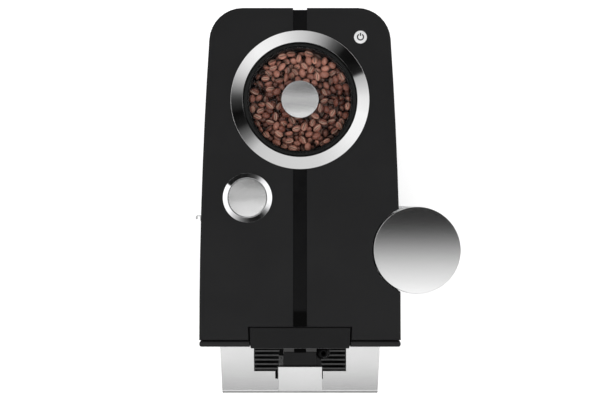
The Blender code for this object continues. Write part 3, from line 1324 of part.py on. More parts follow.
def make_grille():
    """Bars across the whole width, on a lower frame with a rib under their middle."""
    rear = FRONT_Y - 2 * GAP
    front = FRONT_Y - GAP - GRILLE_DEPTH
    half = GRILLE_HALF_WIDTH
    low = TRAY_TOP - GRILLE_THICK
    grille = block("cup_grille", (BODY_X - half, front, low), (BODY_X + half, rear, TRAY_TOP), DARK_GREY)
    bars = int((rear - front - GRILLE_FRONT_SLOT - GRILLE_BAR) / GRILLE_PITCH) + 1
    first = front + GRILLE_FRONT_SLOT + GRILLE_BAR + (GRILLE_PITCH - GRILLE_BAR) / 2
    middles = [first + i * GRILLE_PITCH for i in range(bars - 1)]
    slots = bmesh.new()
    grooves = bmesh.new()
    reach = half - GRILLE_BORDER
    for y in middles:
        for start, end in ((-reach, -GRILLE_RIB / 2), (GRILLE_RIB / 2, reach)):
            boxed(slots, (BODY_X + (start + end) / 2, y, low),
                  (end - start, GRILLE_PITCH - GRILLE_BAR - 2 * GRILLE_STEP, 2 * GRILLE_THICK))
        boxed(grooves, (BODY_X, y, TRAY_TOP),
              (2 * half + OVERRUN, GRILLE_PITCH - GRILLE_BAR, 2 * (GRILLE_THICK - GRILLE_FRAME_THICK)))
    boxed(grooves, (BODY_X, front, TRAY_TOP),
          (2 * half + OVERRUN, 2 * GRILLE_FRONT_SLOT, 2 * (GRILLE_THICK - GRILLE_FRAME_THICK)))
    cut(grille, add("grille_slots", finished_mesh(slots, "grille_slots")),
        add("grille_grooves", finished_mesh(grooves, "grille_grooves")))
    hang_on(grille, BODY_X, (front + rear) / 2, low)


def make_grounds_container():
    """Open box for spent coffee, whose front is the door behind the cups."""
    low = FLOOR_Z + PAN_WALL + GAP
    half = NECK_HALF_WIDTH - PAN_WALL - GROUNDS_SIDE_GAP
    rear = FRONT_Y + NECK_LENGTH - PAN_WALL - GROUNDS_REAR_GAP
    front = PANEL_BACK_Y - GROUNDS_WALL
    box = block("grounds_container", (BODY_X - half, front, low), (BODY_X + half, rear, GROUNDS_TOP),
                DARK_GREY, COVER_ROUND)
    door_half = NECK_HALF_WIDTH + DOOR_MARGIN
    door_low = FLOOR_Z + PAN_HEIGHT + GAP
    fuse(box, block("grounds_door", (BODY_X - door_half, FRONT_Y, door_low),
                    (BODY_X + door_half, front + GROUNDS_WALL / 2, GROUNDS_TOP)))
    wall = GROUNDS_WALL
    cut(box, block("grounds_inside", (BODY_X - half + wall, front + wall, low + wall),
                   (BODY_X + half - wall, rear - wall, GROUNDS_TOP + OVERRUN)))


# Inner frame and brew unit

def make_inner_frame():
    """Shelf across the housing on two side walls, with a plate that backs the brew unit."""
    frame = flat_shape("inner_frame", [body_outline(WALL + SHELF_INSET, HOUSING_FRONT_Y + GAP)],
                       SHELF_LOW, SHELF_TOP, STEEL)
    cut(frame, bay_cutter("shelf_bay", WALL + SHELF_INSET, SHELF_LOW, SHELF_TOP))
    rear = FRONT_Y + NECK_LENGTH + GROUNDS_REAR_GAP
    mid_z = SHELF_LOW + SHELF_THICK / 2
    for side, (start, end) in {"left": (-FRAME_OUTER, -FRAME_INNER),
                               "right": (FRAME_INNER, FRAME_OUTER)}.items():
        fuse(frame, block(f"frame_wall_{side}", (BODY_X + start, HOUSING_FRONT_Y + GAP, FLOOR_Z),
                          (BODY_X + end, rear, mid_z)))
    drop_rear = FRONT_Y + NECK_LENGTH
    cut(frame, block("drop_hole", (FILLER_AXIS_X - DROP_HALF_WIDTH + DROP_SHIFT,
                                   drop_rear - DROP_DEPTH, SHELF_LOW - OVERRUN),
                     (FILLER_AXIS_X + DROP_HALF_WIDTH + DROP_SHIFT, drop_rear,
                      SHELF_TOP + OVERRUN)))
    plate_y = FILLER_Y + BREW_R + GAP
    plate_top = brew_top()
    plate_x = FILLER_AXIS_X + BACK_PLATE_SHIFT
    fuse(frame, block("brew_plate", (plate_x - BACK_PLATE_HALF_WIDTH, plate_y, mid_z),
                      (plate_x + BACK_PLATE_HALF_WIDTH, plate_y + FRAME_WALL, plate_top)))
    hose_x = BODY_X + PUMP_X
    cut(frame, cylinder("hose_hole", hose_x, hose_hole_y(), SHELF_LOW - OVERRUN, SHELF_TOP + OVERRUN,
                        HOSE_R + OVERRUN, steps=TINY))


def make_brew_unit():
    x = FILLER_AXIS_X
    y = FILLER_Y
    low = brew_low()
    top = brew_top()
    turned("brew_cylinder", x, y,
           [(BREW_BORE_R, top), (BREW_R, top), (BREW_R, low), (BREW_BORE_R, low)], DARK_GREY,
           steps=MEDIUM)
    piston_r = BREW_BORE_R - PISTON_CLEARANCE
    piston_low = low + PISTON_CLEARANCE
    arm_low = SHELF_TOP + PISTON_ARM_LIFT + SPINDLE_GEAR_THICK + GAP
    piston = turned("brew_piston", x, y,
                    [(0, piston_low + PISTON_THICK), (piston_r, piston_low + PISTON_THICK),
                     (piston_r, piston_low), (PISTON_ROD_R, piston_low), (PISTON_ROD_R, arm_low),
                     (0, arm_low)], GLOSS_BLACK, steps=MEDIUM, closed=False)
    spindle_x = x + SPINDLE_X
    arm_end = spindle_x + SPINDLE_R + PISTON_ARM_THICK
    fuse(piston, block("piston_arm", (x, y - PISTON_ARM_HALF_WIDTH, arm_low),
                       (arm_end, y + PISTON_ARM_HALF_WIDTH, arm_low + PISTON_ARM_THICK)))
    cut(piston, cylinder("spindle_hole", spindle_x, y, arm_low - OVERRUN,
                         arm_low + PISTON_ARM_THICK + OVERRUN, SPINDLE_R + SPINDLE_CLEARANCE))
    gear_low = SHELF_SEAT_Z
    spindle = flat_shape("brew_spindle",
                         [star(spindle_x, y, SPINDLE_GEAR_R, SPINDLE_TOOTH, SPINDLE_TEETH)],
                         gear_low, gear_low + SPINDLE_GEAR_THICK, STEEL)
    fuse(spindle, cylinder("spindle_rod", spindle_x, y, gear_low + SPINDLE_GEAR_THICK / 2,
                           top - SPINDLE_BELOW_TOP, SPINDLE_R))
    hang_on(spindle, spindle_x, y, gear_low)


# Water circuit and electrics

def pump_start():
    return FRONT_Y + NECK_LENGTH + PUMP_BEHIND_NECK


def heater_rear():
    return HOPPER_Y - MOTOR_R - HEATER_BEFORE_MOTOR


def hose_hole_y():
    """Middle of the shelf's hose hole, behind the pump or the heater, whichever ends last."""
    return max(pump_start() + PUMP_LENGTH, heater_rear()) + HOSE_HOLE_BEHIND


def make_pump():
    x = BODY_X + PUMP_X
    start = pump_start()
    end = start + PUMP_LENGTH
    pump = lying_cylinder("pump_body", (x, start, PUMP_AXIS_Z), (x, end, PUMP_AXIS_Z), PUMP_R, STEEL)
    fuse(pump, block("pump_foot", (x - PUMP_FOOT_HALF_WIDTH, start + PUMP_R / 2, FLOOR_Z),
                     (x + PUMP_FOOT_HALF_WIDTH, end - PUMP_R / 2, PUMP_AXIS_Z)))
    cut(pump, lying_cylinder("pump_bore", (x, start + PLUNGER_SET_IN - OVERRUN, PUMP_AXIS_Z),
                             (x, end + OVERRUN, PUMP_AXIS_Z), PUMP_BORE_R))
    plunger_start = start + PLUNGER_SET_IN
    plunger = lying_cylinder("pump_plunger", (x, plunger_start, PUMP_AXIS_Z),
                             (x, plunger_start + PLUNGER_LENGTH, PUMP_AXIS_Z), PLUNGER_R, STEEL)
    hang_on(plunger, x, plunger_start, PUMP_AXIS_Z)


def make_heater():
    x = BODY_X + HEATER_X
    y = heater_rear() - HEATER_DEPTH
    block("heater_block", (x - HEATER_WIDTH / 2, y, SHELF_SEAT_Z),
          (x + HEATER_WIDTH / 2, y + HEATER_DEPTH, SHELF_SEAT_Z + HEATER_HEIGHT), STEEL, HEATER_ROUND)


def make_board():
    """Control board on four posts against the rear wall."""
    wall_y = REAR_Y - WALL - GAP
    back = wall_y - POST_LENGTH
    x = BODY_X
    half = BOARD_WIDTH / 2
    board = block("control_board", (x - half, back - BOARD_THICK, BOARD_LOW),
                  (x + half, back, BOARD_LOW + BOARD_HEIGHT), BOARD_GREEN)
    for i, side in enumerate((-1, 1)):
        for j, z in enumerate((BOARD_LOW + POST_MARGIN, BOARD_LOW + BOARD_HEIGHT - POST_MARGIN)):
            post_x = x + side * (half - POST_MARGIN)
            fuse(board, lying_cylinder(f"post_{i}{j}", (post_x, back - BOARD_THICK / 2, z),
                                       (post_x, wall_y, z), POST_R, steps=TINY))


def make_inlet():
    """Power inlet let into the rear wall, with its three pins."""
    x = BODY_X + INLET_X
    half = INLET_WIDTH / 2
    top = INLET_LOW + INLET_HEIGHT
    inlet = block("power_inlet", (x - half, REAR_Y - INLET_DEPTH, INLET_LOW), (x + half, REAR_Y, top),
                  RUBBER)
    wall = INLET_WALL
    cut(inlet, block("socket_recess",
                     (x - half + wall, REAR_Y - SOCKET_DEPTH, INLET_LOW + wall),
                     (x + half - wall, REAR_Y + OVERRUN, top - wall)))
    middle = INLET_LOW + INLET_HEIGHT / 2
    for i in (-1, 0, 1):
        pin_x = x + i * PIN_PITCH
        fuse(inlet, block(f"inlet_pin_{i + 1}",
                          (pin_x - PIN_WIDTH / 2, REAR_Y - SOCKET_DEPTH - wall / 2,
                           middle - PIN_HEIGHT / 2),
                          (pin_x + PIN_WIDTH / 2, REAR_Y - SOCKET_DEPTH + PIN_LENGTH,
                           middle + PIN_HEIGHT / 2)))


def make_hoses():
    """Suction hose from the dock to the pump, and pressure hose from the pump to the heater."""
    towards = Vector((math.cos(NIPPLE_TURN), math.sin(NIPPLE_TURN), 0))
    dock_end = Vector((TANK_X, TANK_Y, FLOOR_Z + NIPPLE_HEIGHT)) + towards * (NIPPLE_REACH + GAP)
    pump_x = BODY_X + PUMP_X
    pump_front = Vector((pump_x, pump_start() - GAP, PUMP_AXIS_Z))
    suction = [dock_end, dock_end + towards * HOSE_LEAD,
               (dock_end + pump_front) / 2 + towards * HOSE_LEAD / 2,
               pump_front - Vector((0, HOSE_LEAD, 0)), pump_front]
    tube_route("suction_hose", smooth_route(suction, HOSE_STEPS), HOSE_R, WHITE_HOSE)
    pump_rear = pump_start() + PUMP_LENGTH + GAP
    hole_y = hose_hole_y()
    heater_end = heater_rear() + GAP
    heater_z = SHELF_SEAT_Z + HEATER_HEIGHT / 2
    side_z = PUMP_AXIS_Z + PUMP_R / 2
    pressure = [(pump_x, pump_rear + GAP, side_z), (pump_x, pump_rear + HOSE_LEAD / 2, side_z),
                (pump_x, hole_y, side_z + 2 * HOSE_LEAD), (pump_x, hole_y, SHELF_LOW - HOSE_LEAD),
                (pump_x, hole_y, SHELF_TOP + HOSE_LEAD / 2),
                (pump_x, heater_end + 2 * HOSE_LEAD, heater_z),
                (pump_x, heater_end + HOSE_LEAD, heater_z), (pump_x, heater_end, heater_z)]
    tube_route("pressure_hose", smooth_route(pressure, HOSE_STEPS), HOSE_R, WHITE_HOSE)


make_base()
make_feet()
make_housing()
make_top_cover()
make_centre_strips()
make_front_panel()
make_display_head()
make_hopper()
make_bean_lid()
make_grinder()
make_chute()
make_power_button()
make_filler()
make_dock()
make_tank()
make_clip()
make_rail()
make_spout()
make_tray_shell()
make_pan()
make_grille()
make_grounds_container()
make_inner_frame()
make_brew_unit()
make_pump()
make_heater()
make_board()
make_inlet()
make_hoses()

for piece in PARTS.objects:
    if piece.type == "MESH":
        piece.data.shade_smooth()
        piece.data.set_sharp_from_angle(angle=SMOOTH_BELOW_ANGLE)
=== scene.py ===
# %% [markdown]
# # A bean to cup coffee machine, seen from straight above
#
# The machine is a flat black box with a round bean container let into its top, a small lid for
# ground coffee, a round water tank at its right side and a silver drip tray in front. This lesson
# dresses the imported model: it adds the small forms that a machinist would leave out of the solids,
# and gives each surface its finish.

import json
import math

import bmesh
import bpy
import numpy as np
from mathutils import Matrix, Vector


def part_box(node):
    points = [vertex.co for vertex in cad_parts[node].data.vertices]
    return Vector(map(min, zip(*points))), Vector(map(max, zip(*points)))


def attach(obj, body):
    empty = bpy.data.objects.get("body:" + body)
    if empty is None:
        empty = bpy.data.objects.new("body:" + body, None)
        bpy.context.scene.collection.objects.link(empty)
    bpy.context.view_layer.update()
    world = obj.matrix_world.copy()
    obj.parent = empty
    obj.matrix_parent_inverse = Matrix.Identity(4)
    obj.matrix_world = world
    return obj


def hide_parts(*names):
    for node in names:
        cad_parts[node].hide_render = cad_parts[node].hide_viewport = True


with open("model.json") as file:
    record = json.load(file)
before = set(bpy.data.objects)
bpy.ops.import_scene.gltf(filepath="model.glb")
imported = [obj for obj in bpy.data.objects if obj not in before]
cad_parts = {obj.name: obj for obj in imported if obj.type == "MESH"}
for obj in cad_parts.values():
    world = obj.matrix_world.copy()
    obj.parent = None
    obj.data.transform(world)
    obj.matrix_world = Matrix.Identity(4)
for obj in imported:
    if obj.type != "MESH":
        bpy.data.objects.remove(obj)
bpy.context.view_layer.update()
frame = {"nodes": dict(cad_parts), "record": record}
MM = 0.001


def in_mm(values):
    """These metres in millimetres, to print."""
    return [round(float(value) / MM, 1) for value in values]


# %% [markdown]
# ## Where things are
#
# Each step below needs the middle of a round piece or the level of a flat one. The solids know
# these, so they are read from the nodes' boxes. A piece placed like this stays right when the
# solids change.

# %% Read the places of the main pieces
def middle(node):
    """The middle of a node's box, in metres."""
    low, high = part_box(node)
    return (low + high) / 2


def top(node):
    """The highest level of a node."""
    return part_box(node)[1].z


def radius(node):
    """The radius of a round node."""
    low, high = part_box(node)
    return (high.x - low.x) / 2


HOPPER = middle("hopper_ring")
FILLER = middle("filler_disc")
TANK = middle("tank_lid")
POWER = middle("power_button")
COVER_TOP = top("top_cover")
BODY_X = middle("top_cover").x
print("bean container at", in_mm(HOPPER))

# %% [markdown]
# ## Camera
#
# The photograph looks straight down. The tray in front is much lower than the top cover and shows
# only a little smaller, which tells that a long lens looked from well above.

# %% Put the camera over the machine
CAMERA_HEIGHT = 1.41
CAMERA_Y = 0.0243
CAMERA_LENS = 63.1
SENSOR_WIDTH = 36.0


def add(name, data):
    """Put a mesh, a lamp or a camera into the scene."""
    thing = bpy.data.objects.new(name, data)
    bpy.context.scene.collection.objects.link(thing)
    return thing


camera = add("camera", bpy.data.cameras.new("camera"))
camera.location = (BODY_X, CAMERA_Y, CAMERA_HEIGHT)
camera.data.lens = CAMERA_LENS
camera.data.sensor_width = SENSOR_WIDTH
bpy.context.scene.camera = camera
bpy.context.scene.view_settings.view_transform = "Standard"
print("camera at", in_mm(camera.location))

# %% [markdown]
# ## Shader sums in plain Python
#
# A pattern is a sum of a few numbers that change over a surface, and node by node it is hard to
# read. A small class wraps a socket, so that `1 - mask * 0.2` adds its own Math nodes, and every
# other node comes from one method.

# %% Wrap a socket so that it can be used in sums
class Flow:
    """A socket of a node tree, or the tree alone, that can be used in sums."""

    def __init__(self, tree, socket=None):
        self.tree = tree
        self.socket = socket

    def node(self, kind, settings, inputs, output=0):
        """Add a node: its settings first, then the values or links of its sockets."""
        made = self.tree.nodes.new("ShaderNode" + kind)
        for name, value in settings.items():
            if name == "stops":
                set_stops(made.color_ramp, value)
            else:
                setattr(made, name, value)
        for name, value in inputs.items():
            if isinstance(value, Flow):
                self.tree.links.new(value.socket, made.inputs[name])
            else:
                made.inputs[name].default_value = value
        return Flow(self.tree, made.outputs[output] if made.outputs else None)

    def math(self, operation, *values):
        return self.node("Math", {"operation": operation}, dict(enumerate(values)))

    def __add__(self, other):
        return self.math("ADD", self, other)

    __radd__ = __add__

    def __sub__(self, other):
        return self.math("SUBTRACT", self, other)

    def __rsub__(self, other):
        return self.math("SUBTRACT", other, self)

    def __mul__(self, other):
        return self.math("MULTIPLY", self, other)

    __rmul__ = __mul__

    def __truediv__(self, other):
        return self.math("DIVIDE", self, other)

    def between(self, start, end, low=0.0, high=1.0):
        """Go smoothly from low to high while this value goes from start to end."""
        return self.node("MapRange", {"interpolation_type": "SMOOTHSTEP"},
                         {"Value": self, "From Min": start, "From Max": end, "To Min": low,
                          "To Max": high})

    def spread(self, low=0.0, high=1.0):
        """Stretch a noise, whose values crowd round one half, over the span from low to high."""
        return self.between(0.3, 0.7, low, high)

    def parts(self):
        """The three numbers of a vector."""
        split = self.node("SeparateXYZ", {}, {"Vector": self})
        return [Flow(self.tree, socket) for socket in split.socket.node.outputs]

    def noise(self, size, detail=2.0):
        """A soft random value whose spots are about size metres across."""
        return self.node("TexNoise", {}, {"Vector": self, "Scale": 1.0 / size, "Detail": detail})

    def blend(self, first, second):
        """One of two colours, or a mix of them, by this value."""
        return self.node("Mix", {"data_type": "RGBA"}, {"Factor": self, 6: first, 7: second}, 2)


def set_stops(ramp, stops):
    """Give a colour ramp its stops: pairs of a place and a grey level."""
    while len(ramp.elements) > 1:
        ramp.elements.remove(ramp.elements[-1])
    for index, (place, level) in enumerate(stops):
        element = ramp.elements[0] if index == 0 else ramp.elements.new(place)
        element.position = place
        element.color = grey(level)


def colour(red, green, blue):
    return (red, green, blue, 1.0)


def grey(level):
    return colour(level, level, level)


print("sums ready")

# %% [markdown]
# ## Studio light
#
# Polished metal shows the studio: its pale cloths and dark cards are the light and black stretches
# of the bean ring. A ring slopes, so it mirrors one band of the studio. The light that the
# photograph shows at each angle of a ring, in degrees, is written down here. The line of sight to
# the ring, thrown back by its slope, tells at which compass point that light has to hang.

# %% Find which part of the studio each ring mirrors
RING_SLOPE = math.radians(16.0)
FILLER_SLOPE = math.radians(30.0)
RING_SEEN_AT = 65.6 * MM
FILLER_SEEN_AT = 23.0 * MM


def mirrored(place, reach, slope, degrees):
    """The compass direction, from 0 to 1, that a ring shows at this angle of its circle."""
    angle = math.radians(degrees)
    outward = Vector((math.cos(angle), math.sin(angle), 0))
    normal = outward * math.sin(slope) + Vector((0, 0, math.cos(slope)))
    sight = (place + outward * reach - camera.location).normalized()
    bounced = sight.reflect(normal)
    return (math.atan2(bounced.y, bounced.x) / math.tau) % 1.0


def band(place, reach, slope, levels):
    """Ramp stops for a band of the studio, from what a ring shows at each angle of its circle."""
    stops = sorted((mirrored(place, reach, slope, degrees), level) for degrees, level in levels)
    wrap = (stops[0][1] + stops[-1][1]) / 2
    return [(0.0, wrap)] + stops + [(1.0, wrap)]


RING_LEVELS = [(2, 0.90), (12, 0.66), (21.8, 0.46), (23.2, 0.012), (36, 0.004), (48, 0.006),
               (54, 0.05), (60, 0.12), (72, 0.40), (84, 0.62), (96, 0.76), (110, 0.95),
               (132, 1.00), (146, 0.86), (156, 0.68), (168, 0.32), (176, 0.09), (181, 0.035),
               (192, 0.003), (204, 0.012), (216, 0.19), (228, 0.62), (240, 0.68), (285, 0.72),
               (300, 0.80), (325, 1.00), (348, 1.04)]
FILLER_LEVELS = [(0, 1.25), (14, 1.25), (36, 1.15), (48, 0.86), (60, 0.24), (66, 0.10),
                 (72, 0.05), (90, 0.012), (120, 0.010), (143.3, 0.010), (146.4, 1.2), (170, 1.3),
                 (204, 1.2), (216, 1.1), (228, 0.76), (240, 0.50), (252, 0.22), (264, 0.09),
                 (276, 0.02), (300, 0.008), (312, 0.04), (324, 0.28), (336, 0.85), (348, 1.15)]
ring_band = band(HOPPER, RING_SEEN_AT, RING_SLOPE, RING_LEVELS)
filler_band = band(FILLER, FILLER_SEEN_AT, FILLER_SLOPE, FILLER_LEVELS)
print("studio bands:", len(ring_band), len(filler_band))

# %% [markdown]
# ## The studio as a sky
#
# The world's light is drawn in zones. The ceiling is what level pieces mirror: a bright panel in
# front of the machine, a narrower one behind it, and dark between them, which gives the tank's lid
# its long fade. Below it come the band of the bean ring, that of the steeper filler ring, and an
# even grey for the room's walls, so that metal isn't black when it is seen from the side. The
# camera itself sees plain white.

# %% Draw the studio in the world
CEILING_LEVELS = [(-0.46, 1.10), (-0.34, 1.05), (-0.25, 0.80), (-0.215, 0.05), (-0.185, 0.0),
                  (-0.152, 1.50), (-0.130, 1.25), (-0.105, 0.92), (-0.080, 0.76),
                  (-0.0475, 0.38), (-0.015, 0.05), (0.010, 0.0), (0.055, 0.0), (0.085, 1.05),
                  (0.120, 0.95), (0.165, 0.08), (0.22, 0.02), (0.34, 0.02), (0.46, 0.05)]
WALL_TO_RINGS = (0.28, 0.40)
LOW_TO_MIDDLE = (0.62, 0.68)
MIDDLE_TO_CEILING = (0.89, 0.93)
WALL_GREY = grey(0.60)

world = bpy.data.worlds.new("studio")
bpy.context.scene.world = world
world.use_nodes = True
world.node_tree.nodes.clear()
sky = Flow(world.node_tree)
east, north, up = sky.node("TexCoord", {}, {}, "Generated").parts()
compass = sky.math("FRACT", sky.math("ARCTAN2", north, east) / math.tau + 1.0)
ceiling_band = [(0.5 + place, level) for place, level in CEILING_LEVELS]
ceiling = sky.node("ValToRGB", {"stops": ceiling_band}, {"Fac": north + 0.5})
middle_band = sky.node("ValToRGB", {"stops": ring_band}, {"Fac": compass})
low_band = sky.node("ValToRGB", {"stops": filler_band}, {"Fac": compass})
studio = up.between(*LOW_TO_MIDDLE).blend(low_band, middle_band)
studio = up.between(*MIDDLE_TO_CEILING).blend(studio, ceiling)
studio = up.between(*WALL_TO_RINGS).blend(WALL_GREY, studio)
seen = sky.node("LightPath", {}, {}, "Is Camera Ray")
shown = seen.blend(studio, grey(1.0))
background = sky.node("Background", {}, {"Color": shown, "Strength": 1.0})
sky.node("OutputWorld", {}, {"Surface": background})
print("world nodes:", len(world.node_tree.nodes))

# %% [markdown]
# ## Floor
#
# In a cut-out photograph the floor is pure white, so its own glow brings it there for the camera,
# also through clear plastic, while its plain part keeps the machine's shadow. Metal mirrors it
# with a fainter glow, or the lower edges would all be white.

# %% Lay the floor
FLOOR_SIZE = 4.0
FLOOR_GLOW = 0.66
MIRRORED_GLOW = 0.25

bm = bmesh.new()
bmesh.ops.create_grid(bm, x_segments=1, y_segments=1, size=FLOOR_SIZE)
floor_mesh = bpy.data.meshes.new("floor")
bm.to_mesh(floor_mesh)
bm.free()
floor = add("floor", floor_mesh)

floor_finish = bpy.data.materials.new("pale_floor")
floor_finish.use_nodes = True
floor_finish.node_tree.nodes.clear()
ground = Flow(floor_finish.node_tree)
plain = ground.node("BsdfDiffuse", {}, {"Color": grey(0.8)})
glow, faint = [ground.node("Emission", {}, {"Color": grey(1), "Strength": strength})
               for strength in (FLOOR_GLOW, MIRRORED_GLOW)]
bright = ground.node("AddShader", {}, {0: plain, 1: glow})
dimmer = ground.node("AddShader", {}, {0: plain, 1: faint})
camera_ray, glossy_ray, glass_ray = [ground.node("LightPath", {}, {}, f"Is {kind} Ray")
                                     for kind in ("Camera", "Glossy", "Transmission")]
mirrored_floor = ground.node("MixShader", {}, {0: glossy_ray, 1: plain, 2: dimmer})
looked_at = ground.math("MAXIMUM", camera_ray, glass_ray)
shown_floor = ground.node("MixShader", {}, {0: looked_at, 1: mirrored_floor, 2: bright})
ground.node("OutputMaterial", {}, {"Surface": shown_floor})
floor.data.materials.append(floor_finish)
print("floor laid")

# %% [markdown]
# ## Lamps
#
# Three wide lamps give the soft light that shows the colours. Metal and gloss don't show them,
# because the studio's bands are there for that.

# %% Hang the lamps
def lamp(name, place, target, size, power):
    """A round soft lamp at a place, turned to a target."""
    data = bpy.data.lights.new(name, "AREA")
    data.shape = "DISK"
    data.size = size
    data.energy = power
    obj = add(name, data)
    obj.location = place
    obj.rotation_euler = (Vector(target) - Vector(place)).to_track_quat("-Z", "Y").to_euler()
    obj.visible_glossy = False


lamp("lamp_above", (-0.4, -0.3, 2.0), (0, 0, 0.2), size=1.6, power=12.0)
lamp("lamp_front", (0.5, -1.6, 1.1), (0, -0.1, 0.1), size=1.2, power=2.0)
lamp("lamp_rear", (0.3, 1.5, 1.4), (0, 0.1, 0.1), size=1.2, power=4.0)
print("lamps hung")

# %% [markdown]
# ## Finishes
#
# Each finish starts from one Principled shader. What is the same all over is set on its sockets,
# and only what changes over the surface is linked. All patterns read Object coordinates, which are
# metres here, so a grain keeps its real size.

# %% Start a finish
FINISHES = {}


def start_finish(name, fixed):
    """Make a material with these fixed values, and return its Object coordinates."""
    material = bpy.data.materials.new(name)
    material.use_nodes = True
    shader = material.node_tree.nodes["Principled BSDF"]
    for socket, value in fixed.items():
        shader.inputs[socket].default_value = value
    FINISHES[name] = material
    return Flow(material.node_tree).node("TexCoord", {}, {}, "Object")


def feed(flow, socket):
    """Link a value to a socket of its material's Principled shader."""
    shader = flow.tree.nodes["Principled BSDF"]
    flow.tree.links.new(flow.socket, shader.inputs[socket])


def rough(height, distance, strength):
    """Turn a height that changes over the surface into bumps of this many metres."""
    bump = height.node("Bump", {}, {"Height": height, "Distance": distance, "Strength": strength},
                       "Normal")
    feed(bump, "Normal")


def worked(speck, smoothest, roughest, depth, strength):
    """Let one noise change both the roughness and the height."""
    feed(speck.spread(smoothest, roughest), "Roughness")
    rough(speck, depth, strength)


def dimmed(shade, share):
    """The same colour with this share of its light."""
    return colour(*(value * share for value in shade[:3]))


print("ready for finishes")

# %% [markdown]
# ## Moulded plastics
#
# Most of the machine is moulded plastic. A spark-eroded mould leaves a fine grain in roughness and
# height, and the colour clouds a little over centimetres.

# %% Moulded plastics
CLOUD = 60 * MM


def moulded(name, dark, light, roughness, grain, depth, specular=0.5):
    """Plastic with a spark-eroded grain this many metres wide and deep."""
    place = start_finish(name, {"Specular IOR Level": specular})
    feed(place.noise(CLOUD, 3.0).spread().blend(dark, light), "Base Color")
    worked(place.noise(grain, 1.0), roughness - 0.05, roughness + 0.05, depth, 0.6)


moulded("satin_black", colour(0.0084, 0.0084, 0.0090), colour(0.0104, 0.0104, 0.0109),
        roughness=0.48, grain=0.45 * MM, depth=0.03 * MM, specular=0.25)
moulded("panel_black", colour(0.0120, 0.0120, 0.0125), colour(0.0140, 0.0140, 0.0145),
        roughness=0.50, grain=0.45 * MM, depth=0.03 * MM, specular=0.30)
moulded("dark_plastic", colour(0.0090, 0.0090, 0.0094), colour(0.0120, 0.0120, 0.0125),
        roughness=0.50, grain=0.60 * MM, depth=0.04 * MM, specular=0.25)
moulded("head_black", colour(0.0072, 0.0072, 0.0076), colour(0.0088, 0.0088, 0.0092),
        roughness=0.36, grain=0.45 * MM, depth=0.02 * MM, specular=0.20)
# painted shadow: a nearly black finish for the rail and for the lines beside the head
moulded("shadow_black", grey(0.0010), grey(0.0018),
        roughness=0.70, grain=0.60 * MM, depth=0.04 * MM, specular=0.04)
moulded("pale_plastic", grey(0.62), colour(0.70, 0.70, 0.69),
        roughness=0.38, grain=0.60 * MM, depth=0.03 * MM)
moulded("rubber", grey(0.016), colour(0.024, 0.024, 0.023),
        roughness=0.78, grain=0.80 * MM, depth=0.08 * MM)
moulded("hose_silicone", colour(0.60, 0.60, 0.57), colour(0.70, 0.70, 0.67),
        roughness=0.42, grain=0.90 * MM, depth=0.03 * MM)
print("moulded:", sorted(FINISHES))

# %% [markdown]
# ## Glossy plastics
#
# A polished mould leaves a faint waviness, and a cloth leaves a trace of wiping. The strip down the
# middle of the cover is such a plastic. Just behind the head its gloss fades to a matt end, and
# there painted shade makes it nearly black.

# %% Glossy plastics
WIPED = 40 * MM
WAVE = 9 * MM
STRIP_TONES = colour(0.0042, 0.0042, 0.0045), colour(0.0052, 0.0052, 0.0055)
STRIP_SPECULAR = 0.09
STRIP_MATT_SHADED = 16.0 * MM
STRIP_FADE = 1.8 * MM
STRIP_END_ROUGH = 0.70


def glossy(name, dark, light, roughness, specular=0.5):
    """Polished plastic: faintly wavy, with a trace of wiping in its gloss."""
    place = start_finish(name, {"Specular IOR Level": specular})
    feed(place.noise(WIPED).spread().blend(dark, light), "Base Color")
    worked(place.noise(WAVE, 1.0), roughness * 0.8, roughness * 1.3, 0.02 * MM, 0.25)


def strip_black():
    """The gloss of the centre strip, which ends matt just behind the head, where painted shade makes
    it darker.
    """
    place = start_finish("strip_black", {"Specular IOR Level": STRIP_SPECULAR})
    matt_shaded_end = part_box("centre_strip_front")[0].y + STRIP_MATT_SHADED
    gloss = place.parts()[1].between(matt_shaded_end - STRIP_FADE, matt_shaded_end + STRIP_FADE)
    shade = place.noise(WIPED).spread().blend(*STRIP_TONES)
    # painted shade: the matt end's colour is nearly black
    feed(gloss.blend(grey(0.0004), shade), "Base Color")
    wave = place.noise(WAVE, 1.0)
    feed(gloss * (wave.spread(0.16, 0.26) - STRIP_END_ROUGH) + STRIP_END_ROUGH, "Roughness")
    rough(wave, 0.02 * MM, 0.25)


glossy("gloss_black", *STRIP_TONES, roughness=0.20, specular=STRIP_SPECULAR)
glossy("rim_black", colour(0.0060, 0.0064, 0.0062), colour(0.0074, 0.0078, 0.0076),
       roughness=0.24, specular=0.25)
glossy("milk_black", colour(0.0045, 0.0045, 0.0048), colour(0.0060, 0.0060, 0.0063),
       roughness=0.18, specular=0.08)
glossy("display", colour(0.0040, 0.0042, 0.0050), colour(0.0055, 0.0058, 0.0068), roughness=0.06)
strip_black()
print("finishes so far:", len(FINISHES))

# %% [markdown]
# ## Silver paint
#
# The tray and the spout's cover are plastic painted silver. The paint's fine metal flakes lie at
# all angles, so single specks are paler and rougher than the rest.

# %% Silver paint
def silver_paint():
    """Fine metal flakes under a clear coat."""
    place = start_finish("silver_plastic", {"Metallic": 0.92})
    flake = place.noise(0.35 * MM, 1.0)
    cloud = place.noise(50 * MM)
    shade = cloud.spread().blend(grey(0.73), grey(0.76))
    speckled = flake.between(0.25, 0.75, 0.0, 0.12)
    feed(speckled.blend(shade, grey(0.82)), "Base Color")
    worked(flake, 0.11, 0.15, 0.004 * MM, 0.2)


silver_paint()
print("finishes so far:", len(FINISHES))

# %% [markdown]
# ## Metals
#
# The two rings come from a lathe and are polished, which leaves very fine rings about their own
# middle. The knob, the disc and the tank's lid are blasted with fine beads, which leaves an even
# satin face.

